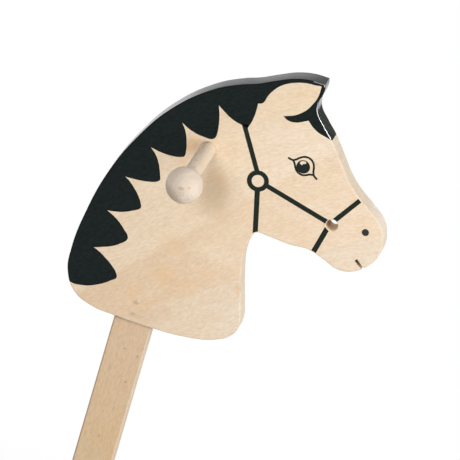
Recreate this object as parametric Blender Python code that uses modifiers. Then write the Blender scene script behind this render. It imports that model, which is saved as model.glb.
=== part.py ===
"""Toy hobby horse: a flat beech head board on a lath stick, with a cross handle and two wheels.

Metres, +Z up along the stick, the horse looks towards +X, the rider's left is +Y.
The origin is the middle of the hand grip, where the handle's axis meets the board's middle.
"""

import math

import bmesh
import bpy
from mathutils import Matrix

MM = 0.001
GAP = 0.3 * MM
WELD = 0.01 * MM
SMOOTH_ANGLE = math.radians(35)
FLAT_ANGLE = math.radians(0.05)
SHARP_ANGLE = math.radians(60)

BOARD_THICKNESS = 22 * MM
BOARD_ARRIS = 1.5 * MM
BOARD_CURVE_STEPS = 3
BOARD_ARRIS_STEPS = 3

# The board's outline, as millimetres forward of and above the handle's axis, clockwise from the ear.
EAR_TIP = (85.9, 95.0)
FORELOCK_KINK = (86.3, 66.9)
EAR_FRONT = [(85.5, 85.5), (85.1, 76.5)]
FORELOCK = [(96.2, 56.3), (106.2, 46.2)]
NOSE_BRIDGE = [(121.2, 27.3), (130.6, 15.0), (142.9, 3.3), (158.6, -7.7)]
MUZZLE = [(171.7, -18.7), (177.7, -33.7), (176.6, -48.8), (170.1, -59.2), (159.6, -68.2), (145.5, -71.4)]
JAW = [(130.0, -66.5), (114.5, -62.0), (96.0, -63.1), (74.0, -62.0)]
THROAT = [(63.6, -62.6), (60.0, -71.6), (58.0, -84.7)]
NECK_FRONT = [(63.3, -113.1), (70.2, -137.7), (73.1, -151.8), (70.0, -163.6), (54.8, -174.5)]
BASE = [(25.1, -181.4), (0.0, -183.1), (-43.0, -182.7), (-61.1, -181.3), (-80.2, -173.4)]
NECK_BACK = [(-92.0, -155.8), (-94.6, -133.8), (-91.3, -95.8), (-81.7, -51.8), (-65.2, -11.0)]
CREST = [(-41.8, 26.4), (-10.8, 56.0), (11.5, 68.8), (26.4, 74.9), (42.3, 83.4), (57.3, 90.6), (72.6, 94.5)]
BOARD_OUTLINE = (
    [EAR_TIP] + EAR_FRONT + [FORELOCK_KINK] + FORELOCK + NOSE_BRIDGE + MUZZLE + JAW + THROAT
    + NECK_FRONT + BASE + NECK_BACK + CREST
)
BOARD_CORNERS = (EAR_TIP, FORELOCK_KINK)
BOARD_BASE_Z = -183.4 * MM

BIT_HOLE_CENTRE = (128.5 * MM, -32.1 * MM)
BIT_HOLE_DIAMETER = 10.5 * MM
BIT_HOLE_RIM = 1.2 * MM
BIT_HOLE_RIM_STEPS = 3

MOUTH_SLIT_END = (158.4 * MM, -56.6 * MM)
MOUTH_SLIT_ANGLE = math.radians(-38)
MOUTH_SLIT_WIDTH = 2.9 * MM
MOUTH_SLIT_REACH = 18 * MM

HANDLE_DIAMETER = 15 * MM
KNOB_DIAMETER = 34 * MM
KNOB_CENTRE_Y = 118 * MM
KNOB_BORE_DEPTH = 20 * MM
HANDLE_CHAMFER = 1 * MM
HANDLE_STEPS = 32

LATH_CENTRE_X = -21.5 * MM
LATH_WIDTH = 36 * MM
LATH_THICKNESS = 18 * MM
LATH_ARRIS = 2 * MM
LATH_ARRIS_STEPS = 2
LATH_FOOT_STEPS = 12
LATH_TOP_Z = BOARD_BASE_Z - GAP
TENON_WIDTH = 24 * MM
TENON_THICKNESS = 10 * MM
TENON_LENGTH = 38 * MM
PIN_DIAMETER = 4.2 * MM
PIN_HEIGHT = 21.9 * MM
PIN_STEPS = 20

FLOOR_Z = -800 * MM
WHEEL_DIAMETER = 80 * MM
AXLE_Z = FLOOR_Z + WHEEL_DIAMETER / 2
AXLE_DIAMETER = 6 * MM
RUNNING_GAP = 0.2 * MM
SPACER_THICKNESS = 2 * MM
SPACER_DIAMETER = 14 * MM
HUB_WIDTH = 18 * MM
HUB_DIAMETER = 26 * MM
WEB_WIDTH = 11 * MM
RIM_WIDTH = 16 * MM
RIM_DEPTH = 6 * MM
TYRE_WIDTH = 11.4 * MM
TYRE_DEPTH = 5.7 * MM
FLANGE_DIAMETER = 73 * MM
WHEEL_COVE = 2 * MM
TYRE_SHOULDER = 2 * MM
TYRE_SHOULDER_STEPS = 3
WASHER_THICKNESS = 1.2 * MM
WASHER_DIAMETER = 15 * MM
CAP_DIAMETER = 14 * MM
CAP_HEIGHT = 6 * MM
CAP_SKIRT = 2 * MM
CAP_WALL = 1.6 * MM
WHEEL_STEPS = 40
SMALL_STEPS = 24

ACROSS = Matrix.Rotation(math.radians(90), 4, "X")


def clear_scene():
    for old in list(bpy.data.objects):
        bpy.data.objects.remove(old)


def new_collection(name):
    collection = bpy.data.collections.new(name)
    bpy.context.scene.collection.children.link(collection)
    return collection


def new_material(name, colour, roughness, metallic=0.0):
    material = bpy.data.materials.new(name)
    material.use_nodes = True
    shader = material.node_tree.nodes["Principled BSDF"]
    shader.inputs["Base Color"].default_value = (*colour, 1.0)
    shader.inputs["Roughness"].default_value = roughness
    shader.inputs["Metallic"].default_value = metallic
    return material


def keep_as_part(obj, name, material, smooth_angle=None):
    """Name a finished piece, give it its material and put it with the parts."""
    obj.name = name
    obj.data.name = name
    obj.data.materials.clear()
    obj.data.materials.append(material)
    move_to(obj, PARTS)
    if smooth_angle is not None:
        obj.data.shade_smooth()
        obj.data.set_sharp_from_angle(angle=smooth_angle)
    return obj


def keep_as_cutter(obj, name):
    obj.name = name
    obj.hide_render = True
    obj.display_type = "WIRE"
    move_to(obj, CUTTERS)
    return obj


def move_to(obj, collection):
    for holder in list(obj.users_collection):
        holder.objects.unlink(obj)
    collection.objects.link(obj)


def boolean(obj, tool, operation="DIFFERENCE"):
    modifier = obj.modifiers.new(tool.name, "BOOLEAN")
    modifier.operation = operation
    modifier.solver = "EXACT"
    modifier.object = tool


def box(size, centre):
    bpy.ops.mesh.primitive_cube_add(size=1, location=centre)
    obj = bpy.context.object
    obj.data.transform(Matrix.Diagonal((*size, 1.0)))
    return obj


def rod(diameter, length, centre, steps):
    """A round bar lying across the horse, along Y."""
    bpy.ops.mesh.primitive_cylinder_add(vertices=steps, radius=diameter / 2, depth=length, location=centre)
    obj = bpy.context.object
    obj.data.transform(ACROSS)
    return obj


def turned(profile, centre, steps):
    """A solid turned about an axis along Y. The profile gives radius and place along the axis, and
    its outer side runs from the high end to the low one."""
    mesh = bpy.data.meshes.new("profile")
    points = [(radius, 0.0, along) for radius, along in profile]
    edges = [(i, (i + 1) % len(points)) for i in range(len(points))]
    if profile[0][0] == 0.0 and profile[-1][0] == 0.0:
        edges.pop()
    mesh.from_pydata(points, edges, [])
    obj = bpy.data.objects.new("turned", mesh)
    bpy.context.scene.collection.objects.link(obj)
    obj.location = centre
    obj.rotation_euler = ACROSS.to_euler()
    screw = obj.modifiers.new("Turn", "SCREW")
    screw.axis = "Z"
    screw.steps = steps
    screw.render_steps = steps
    screw.use_merge_vertices = True
    screw.merge_threshold = WELD
    return obj


def arc(centre, radius, start, end, steps):
    """Points on an arc, angles in degrees."""
    points = []
    for i in range(steps + 1):
        angle = math.radians(start + (end - start) * i / steps)
        points.append((centre[0] + radius * math.cos(angle), centre[1] + radius * math.sin(angle)))
    return points


def plate(spline, curve, thickness):
    """A flat curve made into a solid plate that stands in the XZ plane, centred on y = 0."""
    spline.use_cyclic_u = True
    curve.dimensions = "2D"
    curve.fill_mode = "BOTH"
    curve.extrude = thickness / 2
    guide = bpy.data.objects.new("outline", curve)
    bpy.context.scene.collection.objects.link(guide)
    guide.rotation_euler = ACROSS.to_euler()
    depsgraph = bpy.context.evaluated_depsgraph_get()
    mesh = bpy.data.meshes.new_from_object(guide.evaluated_get(depsgraph))
    mesh.transform(guide.matrix_world)
    bpy.data.objects.remove(guide)
    shape = bmesh.new()
    shape.from_mesh(mesh)
    bmesh.ops.remove_doubles(shape, verts=shape.verts, dist=WELD)
    bmesh.ops.dissolve_limit(shape, angle_limit=FLAT_ANGLE, verts=shape.verts, edges=shape.edges)
    bmesh.ops.recalc_face_normals(shape, faces=shape.faces)
    shape.to_mesh(mesh)
    shape.free()
    obj = bpy.data.objects.new("plate", mesh)
    bpy.context.scene.collection.objects.link(obj)
    return obj


def smooth_plate(knots, corners, thickness, steps):
    """A plate with a flowing outline through the knots, except that it is sharp at the corners."""
    curve = bpy.data.curves.new("outline", "CURVE")
    spline = curve.splines.new("BEZIER")
    spline.bezier_points.add(len(knots) - 1)
    for point, (x, z) in zip(spline.bezier_points, knots):
        point.co = (x * MM, z * MM, 0.0)
        handle = "VECTOR" if (x, z) in corners else "AUTO"
        point.handle_left_type = handle
        point.handle_right_type = handle
    curve.resolution_u = steps
    return plate(spline, curve, thickness)


def straight_plate(corners, thickness):
    """A plate whose outline runs straight from point to point."""
    curve = bpy.data.curves.new("outline", "CURVE")
    spline = curve.splines.new("POLY")
    spline.points.add(len(corners) - 1)
    for point, (x, z) in zip(spline.points, corners):
        point.co = (x, z, 0.0, 1.0)
    return plate(spline, curve, thickness)


def round_rims(obj, thickness, radius, steps, top=None):
    """Round the plate's two rims. A rim edge that lies along the height top stays square."""
    shape = bmesh.new()
    shape.from_mesh(obj.data)
    rims = []
    for edge in shape.edges:
        a, b = (vert.co for vert in edge.verts)
        on_rim = abs(abs(a.y) - thickness / 2) < WELD and abs(a.y - b.y) < WELD
        on_top = top is not None and abs(a.z - top) < WELD and abs(b.z - top) < WELD
        if on_rim and not on_top:
            rims.append(edge)
    bmesh.ops.bevel(
        shape, geom=rims, offset=radius, offset_type="OFFSET", segments=steps,
        profile=0.5, affect="EDGES", clamp_overlap=False,
    )
    shape.to_mesh(obj.data)
    shape.free()


def make_head_board():
    board = smooth_plate(BOARD_OUTLINE, BOARD_CORNERS, BOARD_THICKNESS, BOARD_CURVE_STEPS)
    round_rims(board, BOARD_THICKNESS, BOARD_ARRIS, BOARD_ARRIS_STEPS)
    keep_as_part(board, "head_board", BOARD_BEECH, SMOOTH_ANGLE)
    boolean(board, bit_hole_cutter())
    boolean(board, mouth_slit_cutter())
    boolean(board, mortise_cutter())
    handle_hole = rod(HANDLE_DIAMETER + 2 * GAP, 2 * BOARD_THICKNESS, (0.0, 0.0, 0.0), HANDLE_STEPS)
    boolean(board, keep_as_cutter(handle_hole, "handle_hole"))
    boolean(board, PIN_HOLE)
    return board


def bit_hole_cutter():
    """The hole's cutter flares at both faces, so that it leaves a rounded rim."""
    radius = BIT_HOLE_DIAMETER / 2
    half = BOARD_THICKNESS / 2
    beyond = half + 2 * MM
    centre = radius + BIT_HOLE_RIM
    top = arc((centre, half - BIT_HOLE_RIM), BIT_HOLE_RIM, 90, 180, BIT_HOLE_RIM_STEPS)
    bottom = [(r, -along) for r, along in reversed(top)]
    profile = [(0.0, beyond), (centre, beyond)] + top + bottom + [(centre, -beyond), (0.0, -beyond)]
    cutter = turned(profile, (BIT_HOLE_CENTRE[0], 0.0, BIT_HOLE_CENTRE[1]), SMALL_STEPS)
    return keep_as_cutter(cutter, "bit_hole")


def mouth_slit_cutter():
    middle = MOUTH_SLIT_REACH / 2
    x = MOUTH_SLIT_END[0] + middle * math.cos(MOUTH_SLIT_ANGLE)
    z = MOUTH_SLIT_END[1] + middle * math.sin(MOUTH_SLIT_ANGLE)
    cutter = box((MOUTH_SLIT_REACH, 2 * BOARD_THICKNESS, MOUTH_SLIT_WIDTH), (x, 0.0, z))
    cutter.rotation_euler = (0.0, -MOUTH_SLIT_ANGLE, 0.0)
    return keep_as_cutter(cutter, "mouth_slit")


def mortise_cutter():
    reach = TENON_LENGTH + GAP
    below = 5 * MM
    size = (TENON_WIDTH + 2 * GAP, TENON_THICKNESS + 2 * GAP, reach + below)
    centre = (LATH_CENTRE_X, 0.0, BOARD_BASE_Z + (reach - below) / 2)
    return keep_as_cutter(box(size, centre), "mortise")


def make_lath():
    left = LATH_CENTRE_X - LATH_WIDTH / 2
    right = LATH_CENTRE_X + LATH_WIDTH / 2
    foot = arc((LATH_CENTRE_X, AXLE_Z), LATH_WIDTH / 2, 0, -180, LATH_FOOT_STEPS)
    corners = [(left, LATH_TOP_Z), (right, LATH_TOP_Z)] + foot
    lath = straight_plate(corners, LATH_THICKNESS)
    round_rims(lath, LATH_THICKNESS, LATH_ARRIS, LATH_ARRIS_STEPS, top=LATH_TOP_Z)
    keep_as_part(lath, "lath_stick", LATH_BEECH, SMOOTH_ANGLE)
    overlap = 4 * MM
    height = TENON_LENGTH + overlap
    top = BOARD_BASE_Z + TENON_LENGTH
    tenon = box((TENON_WIDTH, TENON_THICKNESS, height), (LATH_CENTRE_X, 0.0, top - height / 2))
    boolean(lath, keep_as_cutter(tenon, "tenon"), "UNION")
    boolean(lath, PIN_HOLE)
    axle_place = (LATH_CENTRE_X, 0.0, AXLE_Z)
    axle_hole = rod(AXLE_DIAMETER + 2 * GAP, 2 * LATH_THICKNESS, axle_place, SMALL_STEPS)
    boolean(lath, keep_as_cutter(axle_hole, "axle_hole"))
    return lath


def make_pin():
    """The dowel that locks the tenon, flush with both faces of the board."""
    pin = rod(PIN_DIAMETER, BOARD_THICKNESS, PIN_PLACE, PIN_STEPS)
    return keep_as_part(pin, "tenon_pin", PIN_BEECH, SMOOTH_ANGLE)


def make_handle():
    shaft_end = KNOB_CENTRE_Y - KNOB_DIAMETER / 2 + KNOB_BORE_DEPTH - GAP
    shaft = rod(HANDLE_DIAMETER, 2 * shaft_end, (0.0, 0.0, 0.0), HANDLE_STEPS)
    bevel = shaft.modifiers.new("Chamfer", "BEVEL")
    bevel.width = HANDLE_CHAMFER
    bevel.segments = 1
    bevel.limit_method = "ANGLE"
    bevel.angle_limit = SHARP_ANGLE
    keep_as_part(shaft, "handle_shaft", HANDLE_BEECH, SMOOTH_ANGLE)
    for side, name in ((1, "handle_knob_left"), (-1, "handle_knob_right")):
        make_knob(name, side)


def make_knob(name, side):
    """A ball with a blind bore in its inner side."""
    rings = HANDLE_STEPS // 2
    bpy.ops.mesh.primitive_uv_sphere_add(segments=HANDLE_STEPS, ring_count=rings, radius=KNOB_DIAMETER / 2)
    knob = bpy.context.object
    knob.data.transform(ACROSS)
    knob.location = (0.0, side * KNOB_CENTRE_Y, 0.0)
    keep_as_part(knob, name, HANDLE_BEECH, SMOOTH_ANGLE)
    mouth = KNOB_CENTRE_Y - KNOB_DIAMETER / 2
    before = 5 * MM
    bore_place = (0.0, side * (mouth + (KNOB_BORE_DEPTH - before) / 2), 0.0)
    bore = rod(HANDLE_DIAMETER + 2 * GAP, KNOB_BORE_DEPTH + before, bore_place, HANDLE_STEPS)
    boolean(knob, keep_as_cutter(bore, name + "_bore"))


def wheel_profile():
    """A turned wheel: hub, thin web, and a rim with a groove for the tyre."""
    bore = AXLE_DIAMETER / 2 + RUNNING_GAP
    hub = HUB_DIAMETER / 2
    flange = FLANGE_DIAMETER / 2
    seat = WHEEL_DIAMETER / 2 - TYRE_DEPTH - GAP
    groove = TYRE_WIDTH / 2 + GAP
    upper = [
        (bore, HUB_WIDTH / 2),
        (hub - MM, HUB_WIDTH / 2),
        (hub, HUB_WIDTH / 2 - MM),
        (hub, WEB_WIDTH / 2 + WHEEL_COVE),
        (hub + WHEEL_COVE, WEB_WIDTH / 2),
        (flange - RIM_DEPTH - WHEEL_COVE, WEB_WIDTH / 2),
        (flange - RIM_DEPTH, RIM_WIDTH / 2 - MM),
        (flange - RIM_DEPTH + MM, RIM_WIDTH / 2),
        (flange - MM, RIM_WIDTH / 2),
        (flange, RIM_WIDTH / 2 - MM),
        (flange, groove),
        (seat, groove),
    ]
    lower = [(radius, -along) for radius, along in reversed(upper)]
    return upper + lower


def tyre_profile():
    outer = WHEEL_DIAMETER / 2
    inner = outer - TYRE_DEPTH
    half = TYRE_WIDTH / 2
    crown_centre = (outer - TYRE_SHOULDER, half - TYRE_SHOULDER)
    upper = [(inner, half)] + arc(crown_centre, TYRE_SHOULDER, 90, 0, TYRE_SHOULDER_STEPS)
    lower = [(radius, -along) for radius, along in reversed(upper)]
    return upper + lower


def ring_profile(bore, outer, thickness):
    return [
        (outer / 2, thickness / 2),
        (outer / 2, -thickness / 2),
        (bore / 2, -thickness / 2),
        (bore / 2, thickness / 2),
    ]


def cap_profile():
    """A push-on cap: a low dome with a blind bore. Height zero is its open end."""
    bore = AXLE_DIAMETER / 2 + GAP
    radius = CAP_DIAMETER / 2
    rise = CAP_HEIGHT - CAP_SKIRT
    dome = [(radius * x, CAP_SKIRT + rise * y) for x, y in arc((0.0, 0.0), 1.0, 75, 0, 5)]
    inside = CAP_HEIGHT - CAP_WALL
    return [(0.0, CAP_HEIGHT)] + dome + [(radius, 0.0), (bore, 0.0), (bore, inside), (0.0, inside)]


def make_wheel_set(side, word):
    """All that sits on one end of the axle, from the lath outwards. Gives the axle's half length."""
    reach = LATH_THICKNESS / 2 + GAP
    spacer_y = reach + SPACER_THICKNESS / 2
    wheel_y = reach + SPACER_THICKNESS + GAP + HUB_WIDTH / 2
    washer_y = wheel_y + HUB_WIDTH / 2 + GAP + WASHER_THICKNESS / 2
    cap_y = washer_y + WASHER_THICKNESS / 2 + GAP

    spin = bpy.data.objects.new("wheel_" + word + "_spin", None)
    PARTS.objects.link(spin)
    spin.location = (LATH_CENTRE_X, side * wheel_y, AXLE_Z)
    wheel = turned(wheel_profile(), (0.0, 0.0, 0.0), WHEEL_STEPS)
    keep_as_part(wheel, "wheel_" + word, WHEEL_BEECH)
    tyre = turned(tyre_profile(), (0.0, 0.0, 0.0), WHEEL_STEPS)
    keep_as_part(tyre, "tyre_" + word, TYRE_RUBBER)
    for piece in (wheel, tyre):
        piece.parent = spin

    bore = AXLE_DIAMETER + 2 * GAP
    spacer_place = (LATH_CENTRE_X, side * spacer_y, AXLE_Z)
    spacer = turned(ring_profile(bore, SPACER_DIAMETER, SPACER_THICKNESS), spacer_place, SMALL_STEPS)
    keep_as_part(spacer, "spacer_" + word, SPACER_NYLON)
    washer_place = (LATH_CENTRE_X, side * washer_y, AXLE_Z)
    washer = turned(ring_profile(bore, WASHER_DIAMETER, WASHER_THICKNESS), washer_place, SMALL_STEPS)
    keep_as_part(washer, "washer_" + word, STEEL)
    cap = turned(cap_profile(), (LATH_CENTRE_X, side * cap_y, AXLE_Z), SMALL_STEPS)
    cap.rotation_euler = (math.radians(-90 * side), 0.0, 0.0)
    keep_as_part(cap, "axle_cap_" + word, STEEL)
    return cap_y + CAP_HEIGHT - CAP_WALL - GAP


def make_axle(half_length):
    axle = rod(AXLE_DIAMETER, 2 * half_length, (LATH_CENTRE_X, 0.0, AXLE_Z), SMALL_STEPS)
    return keep_as_part(axle, "wheel_axle", STEEL, SMOOTH_ANGLE)


clear_scene()
PARTS = new_collection("hobby_horse")
CUTTERS = new_collection("cutters")

BOARD_BEECH = new_material("board_beech", (0.83, 0.64, 0.45), 0.55)
LATH_BEECH = new_material("lath_beech", (0.70, 0.50, 0.32), 0.6)
HANDLE_BEECH = new_material("handle_beech", (0.74, 0.62, 0.48), 0.5)
PIN_BEECH = new_material("pin_beech", (0.80, 0.68, 0.52), 0.6)
WHEEL_BEECH = new_material("wheel_beech", (0.76, 0.57, 0.38), 0.5)
TYRE_RUBBER = new_material("tyre_rubber", (0.03, 0.03, 0.03), 0.75)
SPACER_NYLON = new_material("spacer_nylon", (0.80, 0.78, 0.72), 0.4)
STEEL = new_material("steel", (0.60, 0.60, 0.60), 0.35, 1.0)

PIN_PLACE = (LATH_CENTRE_X, 0.0, BOARD_BASE_Z + PIN_HEIGHT)
PIN_HOLE = rod(PIN_DIAMETER + 2 * GAP, 2 * BOARD_THICKNESS, PIN_PLACE, PIN_STEPS)
keep_as_cutter(PIN_HOLE, "pin_hole")

make_head_board()
make_lath()
make_pin()
make_handle()
make_wheel_set(1, "left")
make_axle(make_wheel_set(-1, "right"))
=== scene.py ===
# %% [markdown]
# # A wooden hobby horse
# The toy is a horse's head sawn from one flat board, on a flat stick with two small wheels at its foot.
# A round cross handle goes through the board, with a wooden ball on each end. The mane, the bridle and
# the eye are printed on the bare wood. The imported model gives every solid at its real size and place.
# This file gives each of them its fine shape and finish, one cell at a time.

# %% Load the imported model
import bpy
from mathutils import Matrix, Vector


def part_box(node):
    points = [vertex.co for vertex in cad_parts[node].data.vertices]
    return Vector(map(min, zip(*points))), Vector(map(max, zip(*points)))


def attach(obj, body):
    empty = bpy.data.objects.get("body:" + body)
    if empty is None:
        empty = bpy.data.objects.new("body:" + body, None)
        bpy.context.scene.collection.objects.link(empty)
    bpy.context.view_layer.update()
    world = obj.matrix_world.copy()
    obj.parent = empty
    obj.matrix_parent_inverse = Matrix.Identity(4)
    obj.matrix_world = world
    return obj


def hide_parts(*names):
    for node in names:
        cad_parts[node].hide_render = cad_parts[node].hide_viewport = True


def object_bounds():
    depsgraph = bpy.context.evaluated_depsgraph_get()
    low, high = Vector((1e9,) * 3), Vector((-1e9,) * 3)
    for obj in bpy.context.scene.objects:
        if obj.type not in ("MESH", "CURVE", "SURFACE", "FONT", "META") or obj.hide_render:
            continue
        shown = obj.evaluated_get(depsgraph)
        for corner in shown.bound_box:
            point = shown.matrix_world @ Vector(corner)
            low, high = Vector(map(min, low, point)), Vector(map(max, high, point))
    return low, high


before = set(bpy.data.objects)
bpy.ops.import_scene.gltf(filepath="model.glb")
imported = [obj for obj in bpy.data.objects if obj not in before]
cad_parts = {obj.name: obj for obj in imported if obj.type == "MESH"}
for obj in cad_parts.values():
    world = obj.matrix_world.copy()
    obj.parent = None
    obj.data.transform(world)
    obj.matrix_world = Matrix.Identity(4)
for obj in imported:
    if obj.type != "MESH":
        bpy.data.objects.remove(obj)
packed_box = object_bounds()
print("packed model, metres:", [tuple(round(v, 4) for v in corner) for corner in packed_box])

# %% The rest of the tools
from contextlib import contextmanager
from math import cos, pi, radians, sin

import bmesh
import bpy
from mathutils import Matrix, Vector

MM = 0.001
print("nodes to dress:", len(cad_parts))

# %% [markdown]
# ## Camera
# The picture is taken from the front right, a little above, with a long lens, and the camera is rolled
# so that the stick leans. Three angles say all of that, and a target pins the middle of the handle to
# its place in the frame. A camera could be turned by hand until the outlines agree. Here the angles
# were measured instead, on the ball and on the width of the board's top edge.

# %% Place the camera
VIEW_TURN = radians(5.8)
VIEW_LIFT = radians(20.7)
VIEW_ROLL = radians(16.43)
LENS = 1500.0
SENSOR = 36.0
FRAME_PIXELS = 460
PIXELS_PER_MM = 1.10
HANDLE_PIXEL = (207.75, 149.15)
BOARD_FRONT = Vector((0.0, -11.0, 0.0)) * MM

towards = Vector((
    sin(VIEW_TURN) * cos(VIEW_LIFT),
    -cos(VIEW_TURN) * cos(VIEW_LIFT),
    sin(VIEW_LIFT),
))
level_right = Vector((cos(VIEW_TURN), sin(VIEW_TURN), 0.0))
level_up = towards.cross(level_right)
view_right = cos(VIEW_ROLL) * level_right + sin(VIEW_ROLL) * level_up
view_up = cos(VIEW_ROLL) * level_up - sin(VIEW_ROLL) * level_right

frame_width = FRAME_PIXELS / PIXELS_PER_MM * MM
distance = frame_width * LENS / SENSOR
offset_right = (FRAME_PIXELS / 2 - HANDLE_PIXEL[0]) / PIXELS_PER_MM * MM
offset_up = (HANDLE_PIXEL[1] - FRAME_PIXELS / 2) / PIXELS_PER_MM * MM

bpy.ops.object.select_all(action="DESELECT")
bpy.ops.object.camera_add()
camera = bpy.context.object
camera.name = "long_lens_camera"
camera.data.lens = LENS
camera.data.sensor_width = SENSOR
camera.data.clip_start = 0.1
camera.data.clip_end = 60.0
axes = Matrix((view_right, view_up, towards)).transposed()
stand = BOARD_FRONT + towards * distance + view_right * offset_right + view_up * offset_up
camera.matrix_world = Matrix.Translation(stand) @ axes.to_4x4()
bpy.context.scene.camera = camera
print("camera stands", round(distance, 2), "m away")

# %% [markdown]
# ## Soft boxes
# Three square soft boxes light the toy. One in front throws the ball's soft shadow on the board, a wide
# one close on the right lights the edges and rounds the ball, and a narrow one high on the right draws
# the thin bright line on the black rim of the forelock. Each lamp is given the level it should reach on
# a white surface that faces it, and its watts follow from that, so that a colour renders about as it is
# written. Guessing watts would work too, but every move would need a new guess.

# %% Hang the soft boxes
AIM = Vector((20.0, -11.0, -30.0)) * MM


def soft_box(name, direction, away, size, level):
    """Hangs a square lamp in this direction, turned to the toy, that gives this level there."""
    bpy.ops.object.select_all(action="DESELECT")
    place = AIM + Vector(direction).normalized() * away
    bpy.ops.object.light_add(type="AREA", location=place)
    lamp = bpy.context.object
    lamp.name = name
    lamp.rotation_euler = (AIM - place).to_track_quat("-Z", "Y").to_euler()
    lamp.data.shape = "SQUARE"
    lamp.data.size = size
    lamp.data.energy = level * pi * pi * away * away
    return lamp


front_box = soft_box("front_soft_box", (-0.147, -0.937, 0.318), away=2.4, size=0.55, level=0.273)
right_box = soft_box("right_soft_box", (0.90, -0.40, 0.15), away=1.5, size=0.90, level=0.382)
rim_box = soft_box("rim_soft_box", (0.757, -0.323, 0.569), away=1.5, size=0.24, level=0.20)
print("watts:", [round(box.data.energy, 1) for box in (front_box, right_box, rim_box)])

# %% [markdown]
# ## A way to write shader sums
# A material is a net of nodes. A long net is easier to read as a sum, so one small class wraps a socket:
# adding, taking away or multiplying wires adds the Math nodes. Every other node comes from one method,
# which takes the node's type, its settings, and what goes into its sockets. Wiring by hand in the
# editor gives the same net, but it can't be read as text.

# %% The wire class
class Wire:
    """One socket of a node. Arithmetic on it adds Math nodes to the same tree."""

    def __init__(self, tree, socket=None):
        self.tree = tree
        self.socket = socket

    def node(self, kind, settings=None, sockets=None, out=0):
        """Adds a node of this type: its settings first, then the values or links of its sockets."""
        made = self.tree.nodes.new("ShaderNode" + kind)
        for setting, value in (settings or {}).items():
            if setting == "stops":
                lay_stops(made.color_ramp, value)
            else:
                setattr(made, setting, value)
        for place, value in (sockets or {}).items():
            if isinstance(value, Wire):
                self.tree.links.new(value.socket, made.inputs[place])
            else:
                made.inputs[place].default_value = value
        return Wire(self.tree, made.outputs[out] if made.outputs else None)

    def also(self, out):
        """Another output of the same node."""
        return Wire(self.tree, self.socket.node.outputs[out])

    def math(self, operation, first, second=0.0):
        return self.node("Math", {"operation": operation}, {0: first, 1: second})

    def __add__(self, other):
        return self.math("ADD", self, other)

    def __radd__(self, other):
        return self.math("ADD", other, self)

    def __sub__(self, other):
        return self.math("SUBTRACT", self, other)

    def __rsub__(self, other):
        return self.math("SUBTRACT", other, self)

    def __mul__(self, other):
        return self.math("MULTIPLY", self, other)

    def __rmul__(self, other):
        return self.math("MULTIPLY", other, self)

    def __truediv__(self, other):
        return self.math("DIVIDE", self, other)

    def size(self):
        """The value without its sign."""
        return self.math("ABSOLUTE", self)

    def larger(self, other):
        """The larger of two values."""
        return self.math("MAXIMUM", self, other)

    def dot(self, way):
        """How far this direction looks along a way."""
        return self.node("VectorMath", {"operation": "DOT_PRODUCT"}, {0: self, 1: way}, out="Value")

    def parts(self):
        """The three parts of a vector, or of a colour."""
        first = self.node("SeparateXYZ", sockets={0: self})
        return first, first.also(1), first.also(2)

    def place(self):
        """X, Y and Z of the shaded point in the piece's own space, in millimetres."""
        return [part / MM for part in self.node("TexCoord", out="Object").parts()]

    def rise(self, low, high):
        """Goes smoothly from 0 where this wire is at low to 1 where it is at high."""
        settings = {"interpolation_type": "SMOOTHSTEP", "clamp": True}
        return self.node("MapRange", settings, {"Value": self, "From Min": low, "From Max": high})

    def fall(self, low, high):
        """Goes smoothly from 1 where this wire is at low to 0 where it is at high."""
        return 1.0 - self.rise(low, high)

    def spread(self, low, high):
        """Lays the stretch from 0 to 1 of this wire onto low to high."""
        return self.node("MapRange", {"clamp": False}, {"Value": self, "To Min": low, "To Max": high})


def lay_stops(ramp, stops):
    """Puts (position, colour) stops on a colour ramp."""
    while len(ramp.elements) < len(stops):
        ramp.elements.new(0.5)
    for element, (position, colour) in zip(ramp.elements, stops):
        element.position = position
        element.color = colour


def blend_colours(share, first, second):
    """Mixes two colours by a wire that is 0 for the first and 1 for the second."""
    return share.node("Mix", {"data_type": "RGBA"}, {0: share, 6: first, 7: second}, out=2)


def dim(colour, level):
    """Makes a colour darker or lighter by a wire around 1."""
    return level.node("VectorMath", {"operation": "SCALE"}, {0: colour, "Scale": level})


def opaque(red, green, blue):
    """A colour as a socket wants it."""
    return (red, green, blue, 1.0)


def swing(colour, share, parts):
    """Takes these shares of red, green and blue from a colour where a wire is 0, adds them at 1."""
    less = opaque(*(1.0 - part for part in parts))
    more = opaque(*(1.0 + part for part in parts))
    both = blend_colours(share, less, more)
    return share.node("VectorMath", {"operation": "MULTIPLY"}, {0: colour, 1: both})


print("wires are ready")

# %% [markdown]
# ## The room and the floor
# The room is a plain white world. Its light on the toy is stronger from above and from the right than
# from below, as in a room with lamps, while the camera and every reflection see it as pure white. The
# floor is a wide pale sheet. It keeps the shadow at the wheels and fades to pure white further out, so
# the sheet's edge never shows.

# %% White room
ROOM_LEVEL = 0.328
ROOM_LEAN = 0.8
BRIGHT_SIDE = Vector((0.45, -0.35, 0.82))
WHITE = opaque(1.0, 1.0, 1.0)


def seen_directly(wire):
    """Is 1 for rays from the camera, in a reflection or through glass, and 0 for plain light."""
    path = wire.node("LightPath", out="Is Camera Ray")
    return path.larger(path.also("Is Glossy Ray")).larger(path.also("Is Transmission Ray"))


world = bpy.data.worlds.new("white_room")
bpy.context.scene.world = world
world.use_nodes = True
world.node_tree.nodes.clear()
room = Wire(world.node_tree)
direction = room.node("TexCoord", out="Generated")
seen = seen_directly(room)
room_strength = seen + (1.0 - seen) * (1.0 + direction.dot(BRIGHT_SIDE) * ROOM_LEAN) * ROOM_LEVEL
room_light = room.node("Background", sockets={"Color": WHITE, "Strength": room_strength})
room.node("OutputWorld", sockets={"Surface": room_light})
print("room level:", ROOM_LEVEL)

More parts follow.
